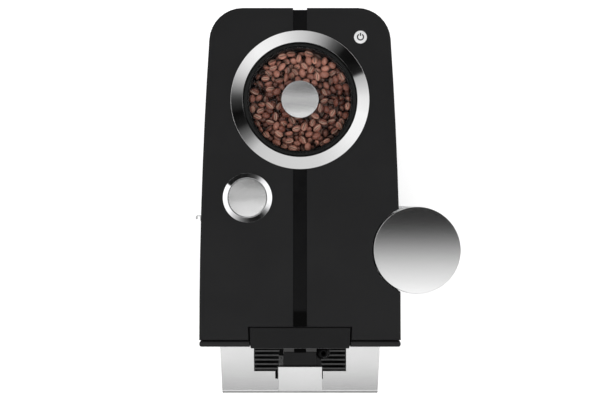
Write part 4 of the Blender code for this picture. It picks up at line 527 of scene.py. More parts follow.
# %% Metals
def turned_metal(name, shade, roughness, centre, pitch, depth):
    """Metal with fine rings from the lathe, about its own middle."""
    place = start_finish(name, {"Metallic": 1.0})
    local = place.node("Mapping", {}, {"Vector": place, "Location": (-centre.x, -centre.y, 0)})
    east, north, up = local.parts()
    reach = local.math("SQRT", east * east + north * north)
    ring = local.node("CombineXYZ", {}, {"X": reach / pitch, "Y": up / pitch, "Z": 0.0})
    groove = local.node("TexNoise", {}, {"Vector": ring, "Scale": 1.0, "Detail": 1.0})
    feed(groove.spread().blend(dimmed(shade, 0.97), shade), "Base Color")
    worked(groove, roughness * 0.85, roughness * 1.2, depth, 0.4)


def blasted_metal(name, shade, roughness, depth, metallic=1.0, grain=0.30 * MM):
    """Aluminium or steel blasted with fine beads, which leaves an even satin face."""
    place = start_finish(name, {"Metallic": metallic})
    speck = place.noise(grain, 1.0)
    feed(speck.spread().blend(dimmed(shade, 0.96), shade), "Base Color")
    worked(speck, roughness * 0.9, roughness * 1.1, depth, 0.5)


turned_metal("polished_metal", grey(0.90), 0.06, HOPPER, 0.35 * MM, 0.004 * MM)
turned_metal("polished_filler", colour(0.90, 0.90, 0.91), 0.07, FILLER, 0.35 * MM, 0.003 * MM)
blasted_metal("satin_metal", grey(0.90), roughness=0.09, depth=0.0004 * MM)
blasted_metal("satin_knob", grey(0.98), roughness=0.24, depth=0.0004 * MM, metallic=0.95)
blasted_metal("satin_disc", grey(0.98), roughness=0.26, depth=0.0004 * MM, metallic=0.92)
blasted_metal("button_metal", grey(0.96), roughness=0.24, depth=0.002 * MM, metallic=0.20)
blasted_metal("steel", colour(0.52, 0.52, 0.54), roughness=0.30, depth=0.010 * MM,
              grain=0.50 * MM)
print("finishes so far:", len(FINISHES))

# %% [markdown]
# ## Clear plastics
#
# Clear plastic mirrors a little of the room, more so at a flat angle, and lets the rest through.
# A Fresnel value as Alpha does both with one shader, and it survives an export to other programs
# better than real refraction does.

# %% Clear plastics
MOST_MIRROR = 0.95


def clear_plastic(name, tint, metallic, index, weakest=0.0):
    """Clear plastic: its refractive index, and the least share of light that it stops."""
    place = start_finish(name, {"Base Color": tint, "Roughness": 0.05, "Metallic": metallic})
    mirror = place.node("Fresnel", {}, {"IOR": index})
    feed(mirror.math("MINIMUM", mirror * (1 - weakest) + weakest, MOST_MIRROR), "Alpha")
    rough(place.noise(12 * MM, 1.0), 0.02 * MM, 0.2)


clear_plastic("clear_plastic", colour(0.42, 0.43, 0.44), metallic=1.0, index=1.35)
clear_plastic("clear_window", colour(0.90, 0.91, 0.92), metallic=1.0, index=1.12)
clear_plastic("clear_hook", colour(0.80, 0.81, 0.82), metallic=0.2, index=1.5, weakest=0.30)
print("finishes so far:", len(FINISHES))

# %% [markdown]
# ## Circuit board and cup grille
#
# The board is green lacquer over copper tracks, which slanting stripes broken by a noise suggest
# well enough. The grille is black plastic whose bars get a grey highlight painted on their tops and
# painted shade, nearly black, below them, so its colour changes with height within a tenth of a
# millimetre.

# %% Circuit board and cup grille
TRACK_PITCH = 2.2 * MM
TOP_HIGHLIGHT_DEPTH = 0.10 * MM
TOP_HIGHLIGHT_FULL = 0.02 * MM


def circuit_board():
    """Lacquer with paler tracks under it."""
    place = start_finish("board_green", {"Roughness": 0.35})
    east, _, up = place.parts()
    track = place.math("FRACT", (east + up) / TRACK_PITCH).between(0.40, 0.46)
    broken = track * place.noise(6 * MM, 3.0).between(0.48, 0.52)
    feed(broken.blend(colour(0.008, 0.070, 0.028), colour(0.015, 0.125, 0.050)), "Base Color")


def grille_black():
    """Black plastic with a grey highlight painted on its very top and painted shade, nearly black,
    below it.
    """
    place = start_finish("grille_black", {"Specular IOR Level": 0.20})
    bar_top = top("cup_grille")
    # painted highlight on the bars' tops, painted shade below them
    top_highlight = place.parts()[2].between(bar_top - TOP_HIGHLIGHT_DEPTH, bar_top - TOP_HIGHLIGHT_FULL)
    highlight_streak = place.noise(4.0 * MM, 3.0).spread()
    painted_highlight_grey = highlight_streak.blend(grey(0.072), grey(0.092))
    feed(top_highlight.blend(grey(0.002), painted_highlight_grey), "Base Color")
    worked(place.noise(0.60 * MM, 1.0), 0.44, 0.56, 0.04 * MM, 0.5)


circuit_board()
grille_black()
print("finishes so far:", len(FINISHES))

# %% [markdown]
# ## Roasted beans
#
# Each bean has its own tone, with darker grains where the roast was hotter, and beans towards the
# rear get painted light as a paler tone. The crease is painted almost black as shade, between two
# lips painted pale as highlight, and what lies deeper in the heap gets painted shade. Tone with the
# rear light, crease and depth are attributes of the mesh, because one material has to serve hundreds
# of beans. A thin oily coat gives them their shine.

# %% Roasted beans
BEAN_DARK = colour(0.125, 0.028, 0.015)
BEAN_PALE = colour(0.760, 0.345, 0.250)
BEAN_GRAIN = colour(0.080, 0.019, 0.010)
# painted highlight on the crease's lips, and painted shade in the crease
BEAN_LIP_HIGHLIGHT = colour(0.95, 0.62, 0.47)
BEAN_CREASE_SHADE = colour(0.022, 0.007, 0.004)
# painted shade for beans deep in the heap
BEAN_DEPTH_SHADE = colour(0.006, 0.002, 0.001)


def roasted():
    """The finish of the beans, from what their mesh says about tone and rear light, crease and
    depth, with painted light and shade.
    """
    place = start_finish("coffee_beans", {"Coat Weight": 0.50, "Coat Roughness": 0.20,
                                          "Specular IOR Level": 0.40})
    tone, crease, depth = [place.node("Attribute", {"attribute_name": name}, {}, "Fac")
                           for name in ("tone", "crease", "depth")]
    grain = place.noise(1.1 * MM, 3.0)
    body = tone.blend(BEAN_DARK, BEAN_PALE)
    body = (grain.between(0.35, 0.75) * 0.35).blend(body, BEAN_GRAIN)
    # painted highlight on the lips, then painted shade in the crease
    body = crease.between(0.10, 0.45, 0.0, 0.5).blend(body, BEAN_LIP_HIGHLIGHT)
    body = crease.between(0.60, 0.90).blend(body, BEAN_CREASE_SHADE)
    # painted shade: beans lower in the heap are darkened
    feed((depth * 0.92).blend(body, BEAN_DEPTH_SHADE), "Base Color")
    worked(grain, 0.30, 0.46, 0.10 * MM, 0.4)


roasted()
print("finishes:", len(FINISHES))

# %% [markdown]
# ## Put the finishes on the solids
#
# Each solid names the slot of its finish, and a solid whose shape is right keeps its mesh. Three get
# another finish: the rail, which lies in the spout's shadow, is painted nearly black as shadow, the
# strip has its matt end with painted shade, and the bowl under the beans is dark, because through a
# clear one daylight would shine in from the vent slots at the rear.

# %% Give every solid its finish
SHARP_ANGLE = 32.0
OWN_FINISH = {"spout_rail": "shadow_black", "centre_strip_front": "strip_black",
              "bean_hopper": "dark_plastic"}

slot_of = {part["node"]: part["material_slot"] for part in frame["record"]["subparts"]}
for name, solid in frame["nodes"].items():
    solid.data.materials.clear()
    solid.data.materials.append(FINISHES[OWN_FINISH.get(name, slot_of[name])])
    solid.data.set_sharp_from_angle(angle=math.radians(SHARP_ANGLE))
print("solids with a finish:", len(slot_of))

# %% [markdown]
# ## Making a piece
#
# Every piece ends the same way: doubled points are merged, faces turned outwards, and the mesh
# gets its finish, the body it moves with and the solid it stands for. Round pieces are spun from
# half of their section, as on a lathe. Hard edges get a small bevel, because a real edge always
# catches a line of light.

# %% Finish a mesh and put it on its body
SAME_POINT = 0.001 * MM


def put(bm, name, finish, body, stands_for=(), smooth=SHARP_ANGLE):
    """Make the piece, on its body; faces that turn by less than smooth are shaded as one."""
    bmesh.ops.remove_doubles(bm, verts=bm.verts, dist=SAME_POINT)
    bmesh.ops.recalc_face_normals(bm, faces=bm.faces)
    mesh = bpy.data.meshes.new(name)
    bm.to_mesh(mesh)
    bm.free()
    mesh.materials.append(FINISHES[finish])
    mesh.shade_smooth()
    mesh.set_sharp_from_angle(angle=math.radians(smooth))
    obj = add(name, mesh)
    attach(obj, body)
    if stands_for:
        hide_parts(*stands_for)
    print(f"{name}: {len(mesh.polygons)} faces on {body}")


def bevel_edges(bm, width, segments=3, angle=25.0):
    """Round every edge whose faces turn by more than this angle."""
    hard = [edge for edge in bm.edges
            if len(edge.link_faces) == 2 and edge.calc_face_angle(0) > math.radians(angle)]
    bmesh.ops.bevel(bm, geom=hard, offset=width, segments=segments, profile=0.5, affect="EDGES",
                    clamp_overlap=True, material=-1)


def spun(centre, section, steps=96, closed=True):
    """Spin a section, as pairs of radius and height, about an upright axis."""
    bm = bmesh.new()
    points = [bm.verts.new((centre.x + reach, centre.y, level)) for reach, level in section]
    pairs = list(zip(points, points[1:]))
    if closed:
        pairs.append((points[-1], points[0]))
    lines = [bm.edges.new(pair) for pair in pairs]
    bmesh.ops.spin(bm, geom=points + lines, cent=centre, axis=(0, 0, 1), dvec=(0, 0, 0),
                   angle=math.tau, steps=steps, use_merge=True, use_duplicate=False)
    bmesh.ops.remove_doubles(bm, verts=bm.verts, dist=SAME_POINT)
    bmesh.ops.recalc_face_normals(bm, faces=bm.faces)
    return bm


def block(bm, size, place):
    """Add a box of this size about a place."""
    verts = bmesh.ops.create_cube(bm, size=1.0)["verts"]
    bmesh.ops.scale(bm, verts=verts, vec=size)
    bmesh.ops.translate(bm, verts=verts, vec=place)


def arc(reach, level, rise, steps):
    """A shallow dome's section: from its top, rise above the level, out to this reach."""
    ball = (reach * reach + rise * rise) / (2 * rise)
    widest = math.asin(reach / ball)
    return [(ball * math.sin(widest * i / steps),
             level + rise - ball + ball * math.cos(widest * i / steps)) for i in range(steps + 1)]


def beside(reach, level, *offsets):
    """Points of a section near one corner, as millimetres outwards and upwards from it."""
    return [(reach + out * MM, level + up * MM) for out, up in offsets]


print("ready for pieces")

# %% [markdown]
# ## The polished ring
#
# The ring slopes outwards, which is why it mirrors light and dark cloths in turn. The slope is one
# wide face between two fine edges. Its shading must not run into those edges, or the mirror image
# would bend there, so only faces that turn by a few degrees are shaded as one.

# %% The polished ring round the beans
RING_R = radius("hopper_ring")
RING_WIDTH = 12.6 * MM
RING_STEPS = 128
FLAT_SLOPE = 6.0
ring_low, ring_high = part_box("hopper_ring")
ring_foot = ring_high.z - RING_WIDTH * math.tan(RING_SLOPE)

bm = spun(HOPPER, [(RING_R - RING_WIDTH, ring_low.z), (RING_R - RING_WIDTH, ring_high.z),
                   *beside(RING_R, ring_foot, (-0.15, 0), (0, -0.15)), (RING_R, ring_low.z)],
          RING_STEPS)
bevel_edges(bm, 0.1 * MM, 2)
put(bm, "bean_ring", "polished_metal", "root", ["hopper_ring"], smooth=FLAT_SLOPE)

# %% [markdown]
# ## The bean lid's rim
#
# Inside the ring sits the lid. Its rim is dark plastic with a soft inner and outer slope, and a
# ledge on which the window rests.

# %% The lid's rim
RIM_R = radius("lid_rim")
WINDOW_R = radius("lid_window")
rim_low, rim_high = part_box("lid_rim")
window_low, window_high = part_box("lid_window")

bm = spun(HOPPER, [*beside(WINDOW_R, rim_high.z, (0.3, -0.9), (1.3, -0.1)),
                   *beside(RIM_R, rim_high.z, (-1.6, 0), (0, -1.3)), (RIM_R, rim_low.z),
                   *beside(WINDOW_R, rim_low.z, (-0.6, 0), (-0.6, 1.2), (0.3, 1.2))], RING_STEPS)
bevel_edges(bm, 0.3 * MM)
put(bm, "lid_rim_moulding", "rim_black", "bean_lid", ["lid_rim"])

# %% [markdown]
# ## The bean lid's window
#
# A clear disc with a hole for the knob's stem. One flat face would do from above, but only a disc
# with a real thickness has an edge that mirrors the room.

# %% The lid's window
HOLE_R = 5.3 * MM

bm = spun(HOPPER, [(HOLE_R, window_high.z), (WINDOW_R, window_high.z), (WINDOW_R, window_low.z),
                   (HOLE_R, window_low.z)])
put(bm, "lid_clear_window", "clear_window", "bean_lid", ["lid_window"])

# %% [markdown]
# ## The bean lid's knob
#
# A satin knob to lift the lid by. Its shallow dome and its stem are one turned piece, so a single
# section gives both.

# %% The lid's knob
KNOB_R = radius("lid_knob")
KNOB_DOME = 1.1 * MM
KNOB_EDGE = 0.5 * MM
STEM_R = 5.0 * MM
dome_foot = top("lid_knob") - KNOB_DOME

bm = spun(HOPPER, [*arc(KNOB_R - KNOB_EDGE, dome_foot, KNOB_DOME, 10),
                   (KNOB_R, dome_foot - KNOB_EDGE), *beside(KNOB_R, window_high.z, (-0.6, 0.3)),
                   *beside(STEM_R, window_high.z, (0, 0.3)), (STEM_R, window_low.z),
                   (0, window_low.z)], closed=False)
put(bm, "lid_satin_knob", "satin_knob", "bean_lid", ["lid_knob"])

# %% [markdown]
# ## One bean
#
# A bumpy disc won't do for beans: the eye knows their crease and shine. So one bean is shaped from
# a ball: its underside is pressed flat and a slightly bent crease pulled in along its middle. It
# has few faces, because it is repeated some hundreds of times.

# %% Shape one bean
BEAN_LENGTH = 9.4 * MM
BEAN_WIDTH = 7.0 * MM
BEAN_THICK = 4.8 * MM
CREASE_BEND = 0.14


def one_bean():
    """A bean about the origin, its crease facing down, with a layer that marks the crease."""
    bm = bmesh.new()
    bmesh.ops.create_uvsphere(bm, u_segments=16, v_segments=8, radius=1.0,
                              matrix=Matrix.Rotation(math.pi / 2, 4, "Y"))
    crease = bm.verts.layers.float.new("crease")
    for vert in bm.verts:
        x, y, z = vert.co
        bend = CREASE_BEND * math.sin(math.pi * x) * (1 - x * x)
        if z < -0.05:
            near = abs(y) / max(math.sqrt(1 - x * x), 0.01)
            if near < 0.2:  # the floor of the crease
                vert[crease] = 1.0
                vert.co.z = -0.10
                vert.co.y = bend
            elif near < 0.5:  # its two lips
                vert[crease] = 0.5
                vert.co.z = z * 0.50
                vert.co.y = y * 0.42 + bend
            elif near < 0.8:  # the flat underside
                vert.co.z = z * 0.60
                vert.co.y = y * 0.86 + bend * 0.5
            else:  # its round edge
                vert.co.z = z * 0.70
    bmesh.ops.scale(bm, verts=bm.verts, vec=(BEAN_LENGTH / 2, BEAN_WIDTH / 2, BEAN_THICK * 0.66))
    bmesh.ops.recalc_face_normals(bm, faces=bm.faces)
    mesh = bpy.data.meshes.new("bean")
    bm.to_mesh(mesh)
    bm.free()
    return mesh


bean = one_bean()
print("one bean has", len(bean.polygons), "faces")

# %% [markdown]
# ## How the beans lie
#
# To find out how they lie, each bean is first a short rod with a ball at either end. Two rules
# are enough: balls that overlap are parted, and each rod goes back to its length, inside the bowl
# and above the bed.

# %% Rules for rods in a bowl
BEANS = 430
BALL_R = 3.1 * MM
BALL_APART = 3.4 * MM
BOWL_R = 53.6 * MM
BED_Z = 289.0 * MM
PUSH = 0.45
LIST_BEYOND = 2.0 * MM
TINY = 1e-9


def neighbours(balls, mate):
    """Pairs of balls that are near each other and not on one rod."""
    gaps = balls[:, None, :] - balls[None, :, :]
    close = np.einsum("ijk,ijk->ij", gaps, gaps) < (2 * BALL_R + LIST_BEYOND) ** 2
    first, second = np.nonzero(np.triu(close, 1))
    keep = mate[first] != second
    return first[keep], second[keep]


def nudge(balls, first, second):
    """Part what overlaps, keep the rods' length, and hold all balls in the bowl."""
    line = balls[first] - balls[second]
    far = np.linalg.norm(line, axis=1)
    push = np.clip(2 * BALL_R - far, 0, None) / np.maximum(far, TINY) * PUSH
    np.add.at(balls, first, line * push[:, None])
    np.add.at(balls, second, -line * push[:, None])
    rod = balls[BEANS:] - balls[:BEANS]
    off = (BALL_APART / np.linalg.norm(rod, axis=1) - 1)[:, None] / 2
    balls[BEANS:] += rod * off
    balls[:BEANS] -= rod * off
    out = np.hypot(balls[:, 0], balls[:, 1])
    wall = np.minimum(1, (BOWL_R - BALL_R) / np.maximum(out, TINY))
    balls[:, :2] *= wall[:, None]
    balls[:, 2] = np.maximum(balls[:, 2], BED_Z + BALL_R)


print("rules for", BEANS, "beans")

# %% [markdown]
# ## Let the beans drop
#
# The rods start in a loose cloud over the bed. In each round every ball keeps most of its speed
# and sinks a little, and a few nudges set right what overlaps. After some hundred rounds they
# rest as poured beans do, some flat and some leaning.

# %% Let the beans drop and settle
ROUNDS = 260
NUDGES = 3
DROP_MM = 50
SINK = 0.045 * MM
SPEED_KEPT = 0.90
LIST_EVERY = 5
FLATNESS = 0.35
DROP_SEED = 11


def settle():
    """Drop the rods on the bed; each row of the two results is one end of a rod at rest."""
    draw = np.random.default_rng(DROP_SEED)
    reach = (BOWL_R - 2 * BALL_R) * np.sqrt(draw.random(BEANS))
    turn = draw.random(BEANS) * math.tau
    start = np.stack([reach * np.cos(turn), reach * np.sin(turn),
                      BED_Z + BALL_R + draw.random(BEANS) * DROP_MM * MM], 1)
    lean = draw.normal(size=(BEANS, 3)) * (1, 1, FLATNESS)
    lean /= np.linalg.norm(lean, axis=1)[:, None]
    balls = np.concatenate([start - lean * BALL_APART / 2, start + lean * BALL_APART / 2])
    before = balls.copy()
    mate = np.concatenate([np.arange(BEANS) + BEANS, np.arange(BEANS)])
    for step in range(ROUNDS):
        moved = (balls - before) * SPEED_KEPT
        before = balls.copy()
        balls = balls + moved - (0, 0, SINK)
        if step % LIST_EVERY == 0:
            first, second = neighbours(balls, mate)
        for _ in range(NUDGES):
            nudge(balls, first, second)
    return balls[:BEANS], balls[BEANS:]


left, right = settle()
print("heap from and to, in mm:", in_mm([left[:, 2].min(), left[:, 2].max()]))

# %% [markdown]
# ## The heap
#
# Each rod now gets its bean, rolled about its length by chance. Beans towards the rear get painted
# light, a paler tone. For the painted shade, how deep a point lies is measured from the highest bean
# near it, so the low rim of the heap isn't in painted shade altogether.

# %% Lay a bean on each rod
HEAP_LIT = 1.5 * MM
HEAP_DARK = 6.0 * MM
NEAR_BEAN = 9.0 * MM
REAR_PAINTED_LIGHT = 0.55
REAR_START = 0.15
CREASE_DOWN = 0.68
ROLL_SPREAD = 0.55
SMALLEST = 0.90
SIZE_SPREAD = 0.2
HEAP_SEED = 5


def heap():
    """All the beans in one mesh, with their tone and painted rear light, and their depth for painted
    shade.
    """
    draw = np.random.default_rng(HEAP_SEED)
    # painted light: beans towards the rear get a paler tone
    rear = ((REAR_START + left[:, 1] / BOWL_R) ** 2).clip(0, 1)
    tones_and_rear_light = draw.random(BEANS) * (1 - REAR_PAINTED_LIGHT) + REAR_PAINTED_LIGHT * rear
    rolls = (draw.normal(scale=ROLL_SPREAD, size=BEANS)
             + np.where(draw.random(BEANS) < CREASE_DOWN, math.pi, 0))
    sizes = SMALLEST + SIZE_SPREAD * draw.random(BEANS)
    centres = (left + right) / 2
    apart = np.hypot(*(centres[:, None, :2] - centres[None, :, :2]).transpose(2, 0, 1))
    surface = np.where(apart < NEAR_BEAN, centres[None, :, 2], 0).max(1) + BEAN_THICK / 2
    bm = bmesh.new()
    bm.verts.layers.float.new("crease")
    tone = bm.verts.layers.float.new("tone")
    depth = bm.verts.layers.float.new("depth")
    for index in range(BEANS):
        along = Vector(right[index] - left[index]).normalized()
        side = Vector((0, 0, 1)).cross(along).normalized()
        lie = Matrix((along, side, along.cross(side))).transposed().to_4x4()
        place = Vector(centres[index]) + Vector((HOPPER.x, HOPPER.y, 0))
        count = len(bm.verts)
        bm.from_mesh(bean)
        bm.verts.ensure_lookup_table()
        added = bm.verts[count:]
        whole = (Matrix.Translation(place) @ lie @ Matrix.Rotation(rolls[index], 4, "X")
                 @ Matrix.Scale(sizes[index], 4))
        bmesh.ops.transform(bm, matrix=whole, verts=added)
        for vert in added:
            vert[tone] = tones_and_rear_light[index]
            # painted shade: how far a point lies below the heap's top
            below = (surface[index] - vert.co.z - HEAP_LIT) / HEAP_DARK
            vert[depth] = min(max(below, 0.0), 1.0)
    return bm


bm = heap()
highest = max(vert.co.z for vert in bm.verts)
bmesh.ops.translate(bm, verts=bm.verts, vec=(0, 0, min(0, top("bean_fill") - highest)))
put(bm, "bean_heap", "coffee_beans", "root", smooth=70)

# %% [markdown]
# ## The bed under the heap
#
# A plain bed of the same finish stands for the beans below the heap, and fills the bowl down to
# its throat.

# %% The bed under the heap
THROAT_R = 19 * MM
BED_STRAIGHT = 30 * MM
bed_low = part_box("bean_fill")[0].z

bm = spun(HOPPER, [(0, BED_Z), (BOWL_R, BED_Z - 0.5 * MM), (BOWL_R, bed_low + BED_STRAIGHT),
                   (THROAT_R, bed_low), (0, bed_low)], 64, closed=False)
put(bm, "bean_bed", "coffee_beans", "root", ["bean_fill"])

# %% [markdown]
# ## The ring of the ground coffee lid
#
# A polished ring with a steeper slope than the bean ring's. It has no outer chamfer, since one
# would mirror the floor as a bright outline.

# %% The filler ring
FILLER_R = radius("filler_ring")
FILLER_WIDTH = 5.3 * MM
filler_low, filler_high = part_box("filler_ring")
filler_foot = filler_high.z - FILLER_WIDTH * math.tan(FILLER_SLOPE)

bm = spun(FILLER, [(FILLER_R - FILLER_WIDTH, filler_low.z),
                   *beside(FILLER_R - FILLER_WIDTH, filler_high.z, (0, -0.4), (0.4, -0.1)),
                   (FILLER_R, filler_foot), (FILLER_R, filler_low.z)])
bevel_edges(bm, 0.1 * MM)
put(bm, "filler_polished_ring", "polished_filler", "filler_lid", ["filler_ring"],
    smooth=FLAT_SLOPE)

# %% [markdown]
# ## The disc of the ground coffee lid
#
# A satin disc fills the ring. Its slight dome goes softly from light to dark, where a flat disc
# would mirror a single tone.

# %% The filler disc
DISC_R = radius("filler_disc")
DISC_DOME = 1.5 * MM
disc_low, disc_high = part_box("filler_disc")

bm = spun(FILLER, [*arc(DISC_R - 0.3 * MM, disc_high.z - DISC_DOME, DISC_DOME, 10),
                   (DISC_R, disc_low.z), (0, disc_low.z)], closed=False)
put(bm, "filler_satin_disc", "satin_disc", "filler_lid", ["filler_disc"])

# %% [markdown]
# ## The tank's lid
#
# A wide satin lid of drawn aluminium, not quite flat: a dome of a third of a millimetre turns the
# studio's ceiling into the long fade that the photograph shows. A higher dome would draw the fade
# together in the middle.

# %% The tank's domed lid
LID_R = radius("tank_lid") - 0.4 * MM
LID_DOME = 0.36 * MM
LID_EDGE = 0.5 * MM
lid_low, lid_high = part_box("tank_lid")

bm = spun(TANK, [*arc(LID_R - LID_EDGE, lid_high.z - LID_DOME, LID_DOME, 12),
                 (LID_R, lid_high.z - LID_DOME - LID_EDGE),
                 *beside(LID_R, lid_low.z, (0, 4), (-3.6, 4), (-4.2, 0)), (0, lid_low.z)],
          RING_STEPS, closed=False)
put(bm, "tank_domed_lid", "satin_metal", "tank_lid", ["tank_lid"])

# %% [markdown]
# ## The power button
#
# A small metal button with a slight dome. A wider foot under the cover keeps it from falling out,
# and the same section gives both.

# %% The power button
POWER_R = 6.7 * MM
POWER_DOME = 0.45 * MM
POWER_TOP = top("power_button")
power_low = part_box("power_button")[0].z

bm = spun(POWER, [*arc(POWER_R - 0.5 * MM, POWER_TOP - POWER_DOME, POWER_DOME, 6),
                  *beside(POWER_R, POWER_TOP, (0, -0.9)),
                  *beside(POWER_R, power_low, (0, 1.2), (1.2, 1.2), (1.2, 0)), (0, power_low)],
          64, closed=False)
put(bm, "power_metal_button", "button_metal", "power_button", ["power_button"])

# %% [markdown]
# ## The power sign
#
# The usual sign, an open circle and a stroke, is printed on the button in dark grey. The circle is
# a short section spun through most of a turn, and its gap faces the rear.

# %% The power sign
SIGN_R = 3.1 * MM
SIGN_WIDTH = 1.25 * MM
SIGN_THICK = 0.3 * MM
SIGN_START = math.radians(122)
SIGN_SWEEP = math.radians(296)
STROKE_LENGTH = 3.2 * MM
STROKE_MIDDLE = 2.7 * MM

bm = bmesh.new()
points = [bm.verts.new((POWER.x + SIGN_R + side * SIGN_WIDTH / 2, POWER.y, POWER_TOP - lift))
          for side, lift in ((-1, SIGN_THICK), (1, SIGN_THICK), (1, 0.0), (-1, 0.0))]
lines = [bm.edges.new(pair) for pair in zip(points, points[1:] + points[:1])]
bmesh.ops.contextual_create(bm, geom=lines)
bmesh.ops.rotate(bm, verts=bm.verts, cent=POWER, matrix=Matrix.Rotation(SIGN_START, 3, "Z"))
section = bm.verts[:] + bm.edges[:] + bm.faces[:]
bmesh.ops.spin(bm, geom=section, cent=POWER, axis=(0, 0, 1), dvec=(0, 0, 0), angle=SIGN_SWEEP,
               steps=40)
block(bm, (SIGN_WIDTH, STROKE_LENGTH, SIGN_THICK),
      (POWER.x, POWER.y + STROKE_MIDDLE, POWER_TOP - SIGN_THICK / 2))
put(bm, "power_sign", "dark_plastic", "power_button")

# %% [markdown]
# ## Soft edges on the moulded pieces
#
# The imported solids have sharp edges, and a moulding never has. Its small radius is what makes a
# dark piece readable, because it catches a thin line of light. A copy of each solid gets its
# doubled points merged, its flat faces joined, and its hard edges rounded.

# %% Round the edges of the mouldings
bodies = frame["record"]["behaviour"]["bodies"]
body_of = {node: body for body, nodes in bodies.items() for node in nodes}


def softened(node, finish, width, segments=2, smooth=12.0):
    """A copy of a solid with rounded edges takes its place."""
    bm = bmesh.new()
    bm.from_mesh(frame["nodes"][node].data)
    bmesh.ops.remove_doubles(bm, verts=bm.verts, dist=SAME_POINT)
    bmesh.ops.dissolve_limit(bm, angle_limit=math.radians(1.0), verts=bm.verts, edges=bm.edges)
    bevel_edges(bm, width, segments, 35.0)
    put(bm, node + "_moulding", finish, body_of[node], [node], smooth=smooth)


softened("display_head", "head_black", 0.5 * MM)
softened("front_panel", "panel_black", 0.4 * MM)
softened("tray_shell", "silver_plastic", 0.3 * MM, smooth=8.0)
softened("cup_grille", "grille_black", 0.6 * MM)
for side in ("left", "right"):
    for row in (1, 2, 3):
        softened(f"key_{side}_{row}", "dark_plastic", 0.5 * MM, 3)

# %% [markdown]
# ## The hook for the milk hose
#
# A small clear arch stands out from the housing's left side, and the milk hose is laid into it.
# Its outline, two half circles with a foot at the housing, is drawn from above, raised to the
# hook's height and rounded.

# %% The hook for the milk hose
HOOK_THICK = 1.6 * MM
HOOK_STEPS = 12
clip_low, clip_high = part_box("hose_clip")
outer_r = (clip_high.y - clip_low.y) / 2
inner_r = outer_r - HOOK_THICK
hook_x = clip_low.x + outer_r
hook_y = (clip_low.y + clip_high.y) / 2


def half_circle(reach):
    """A half circle over the hook, from its outer side to the side of the housing."""
    angles = [math.pi * i / HOOK_STEPS for i in range(HOOK_STEPS + 1)]
    return [(hook_x - reach * math.cos(angle), hook_y + reach * math.sin(angle))
            for angle in angles]


outline = [(clip_low.x, hook_y - HOOK_THICK), *half_circle(outer_r),
           (hook_x + outer_r, hook_y - inner_r), (clip_high.x, hook_y - inner_r),
           (clip_high.x, clip_low.y), (hook_x + inner_r, clip_low.y),
           *half_circle(inner_r)[::-1], (clip_low.x + HOOK_THICK, hook_y - HOOK_THICK)]
bm = bmesh.new()
base = bm.faces.new([bm.verts.new((x, y, clip_low.z)) for x, y in outline])
raised = bmesh.ops.extrude_face_region(bm, geom=[base])["geom"]
raised = [item for item in raised if isinstance(item, bmesh.types.BMVert)]
bmesh.ops.translate(bm, verts=raised, vec=(0, 0, clip_high.z - clip_low.z))
bmesh.ops.recalc_face_normals(bm, faces=bm.faces)
bevel_edges(bm, 0.3 * MM, 2, 40.0)
put(bm, "milk_hose_hook", "clear_hook", "root", ["hose_clip"])

# %% [markdown]
# ## Painted shadows beside the head
#
# From above, a black line runs down either side of the head, where the gap to the cover lies in
# shade. Each line is a painted shadow: a thin black bar that leans in towards the front, as the
# head's sides do.

# %% Painted shadows beside the head
GAP_SHADOW_WIDTH = 1.0 * MM
GAP_SHADOW_THICK = 0.3 * MM
GAP_SHADOW_CLEARANCE = 0.35 * MM
GAP_SHADOW_PAST = 0.6 * MM
GAP_SHADOW_TAPER = 0.7 * MM
head_low, head_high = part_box("display_head")
run = head_high.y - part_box("top_cover")[0].y
lean_in = GAP_SHADOW_TAPER * run / (head_high.y - head_low.y)
for side, sign in (("left", -1), ("right", 1)):
    edge = BODY_X + sign * ((head_high.x - head_low.x) / 2 + GAP_SHADOW_CLEARANCE + GAP_SHADOW_WIDTH / 2)
    bm = bmesh.new()
    block(bm, (GAP_SHADOW_WIDTH, run, GAP_SHADOW_THICK), (edge, head_high.y + GAP_SHADOW_PAST - run / 2, COVER_TOP))
    fore = [vert for vert in bm.verts if vert.co.y < head_high.y - run / 2]
    bmesh.ops.translate(bm, verts=fore, vec=(-sign * lean_in, 0, 0))
    bevel_edges(bm, 0.08 * MM)
    # a painted shadow of the gap beside the head
    put(bm, f"head_gap_shadow_{side}", "shadow_black", "root")

# %% [markdown]
# ## The spout's body
#
# The dark body slides on a T-shaped rail. Its top slopes down at the rear, and light is painted on
# that slope as a paler grey; a grained highlight is painted on its left wing. All of it is one
# moulding, so this painted light is placed by how far back a point lies, how far to the side, and
# how high.

# %% The spout's body
SLOPE_START = 15.0 * MM
SLOPE_FULL = 14.4 * MM
WING_START = 19.1 * MM
WING_FULL = 19.5 * MM
spout_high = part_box("spout_body")[1]


def spout_black():
    """Dark plastic with painted light on its rear slope and a grained highlight painted on its left
    wing.
    """
    place = start_finish("spout_black", {"Specular IOR Level": 0.20})
    east, north, up = place.parts()
    slope = north.between(spout_high.y - SLOPE_START, spout_high.y - SLOPE_FULL)
    # painted highlight: a grained grey on the left wing
    wing_highlight = (BODY_X - east).between(WING_START, WING_FULL)
    wing_highlight = wing_highlight * up.between(spout_high.z - 6.0 * MM, spout_high.z - 4.0 * MM)
    speck = place.noise(1.2 * MM, 2.0)
    grained_highlight = speck.between(0.40, 0.62).blend(grey(0.028), grey(0.125))
    shade = place.noise(CLOUD, 3.0).spread().blend(colour(0.0104, 0.0104, 0.0108),
                                                   colour(0.0126, 0.0126, 0.0130))
    shade = wing_highlight.blend(shade, grained_highlight)
    # painted light: the rear slope is a paler grey
    feed(slope.blend(shade, grey(0.155)), "Base Color")
    feed(speck.spread(0.34, 0.46), "Roughness")
    rough(place.noise(0.45 * MM, 1.0), 0.02 * MM, 0.5)


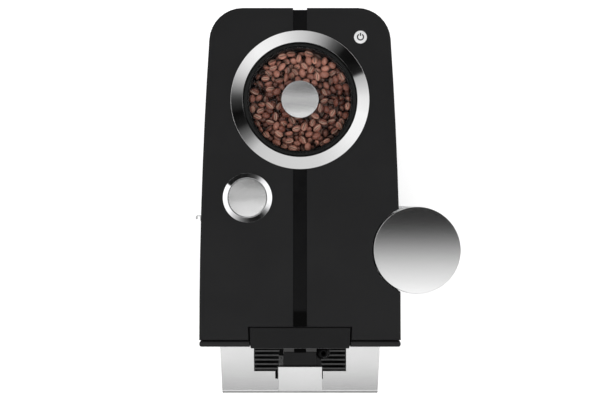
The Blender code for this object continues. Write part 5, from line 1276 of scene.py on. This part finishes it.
spout_black()
softened("spout_body", "spout_black", 0.2 * MM)

# %% [markdown]
# ## The spout's cover
#
# A silver hood closes the spout's front. It starts as a block; its underside is inset and pushed
# up to leave a thin wall, and the rear edge of its top is drawn in and down a little, so that the
# top mirrors the light panel as a slow fade.

# %% The spout's silver cover
COVER_WALL = 3.0 * MM
COVER_FALL = 0.22 * MM
COVER_RAKE = 0.5 * MM
cover_low, cover_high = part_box("spout_cover")

bm = bmesh.new()
block(bm, cover_high - cover_low, (cover_high + cover_low) / 2)
under = [face for face in bm.faces if face.calc_center_median().z < cover_low.z + 0.01 * MM]
bmesh.ops.inset_region(bm, faces=under, thickness=COVER_WALL)
inner = bmesh.ops.extrude_discrete_faces(bm, faces=under)["faces"]
bmesh.ops.translate(bm, verts=inner[0].verts,
                    vec=(0, 0, cover_high.z - cover_low.z - COVER_WALL))
rear_edge = [vert for vert in bm.verts
             if vert.co.z > cover_high.z - 0.1 * MM and vert.co.y > cover_high.y - 0.1 * MM]
bmesh.ops.translate(bm, verts=rear_edge, vec=(0, -COVER_RAKE, -COVER_FALL))
bevel_edges(bm, 0.5 * MM, 3)
put(bm, "spout_silver_cover", "silver_plastic", "spout", ["spout_cover"], smooth=12)

# %% [markdown]
# ## The milk connector
#
# The milk hose is pushed onto a round black connector at the spout's right side. Its section has a
# bore, a rounded mouth, a narrow neck for the hose and a wider body with a shoulder.

# %% The milk connector
MILK = middle("milk_connector")
MILK_R = radius("milk_connector")
milk_low, milk_high = [point.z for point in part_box("milk_connector")]

bm = spun(MILK, [*beside(0, milk_high, (2.4, -8.0), (2.4, -0.7), (3.0, 0), (4.6, -0.2),
                         (5.4, -1.2), (5.4, -6.6)),
                 *beside(MILK_R, milk_high, (-0.5, -7.0), (0, -7.5)),
                 *beside(MILK_R, milk_low, (0, 5.4)),
                 *beside(0, milk_low, (5.4, 5.0), (5.4, 0), (0, 0))], 64, closed=False)
put(bm, "milk_connector_spout", "milk_black", "spout", ["milk_connector"],
    smooth=60)
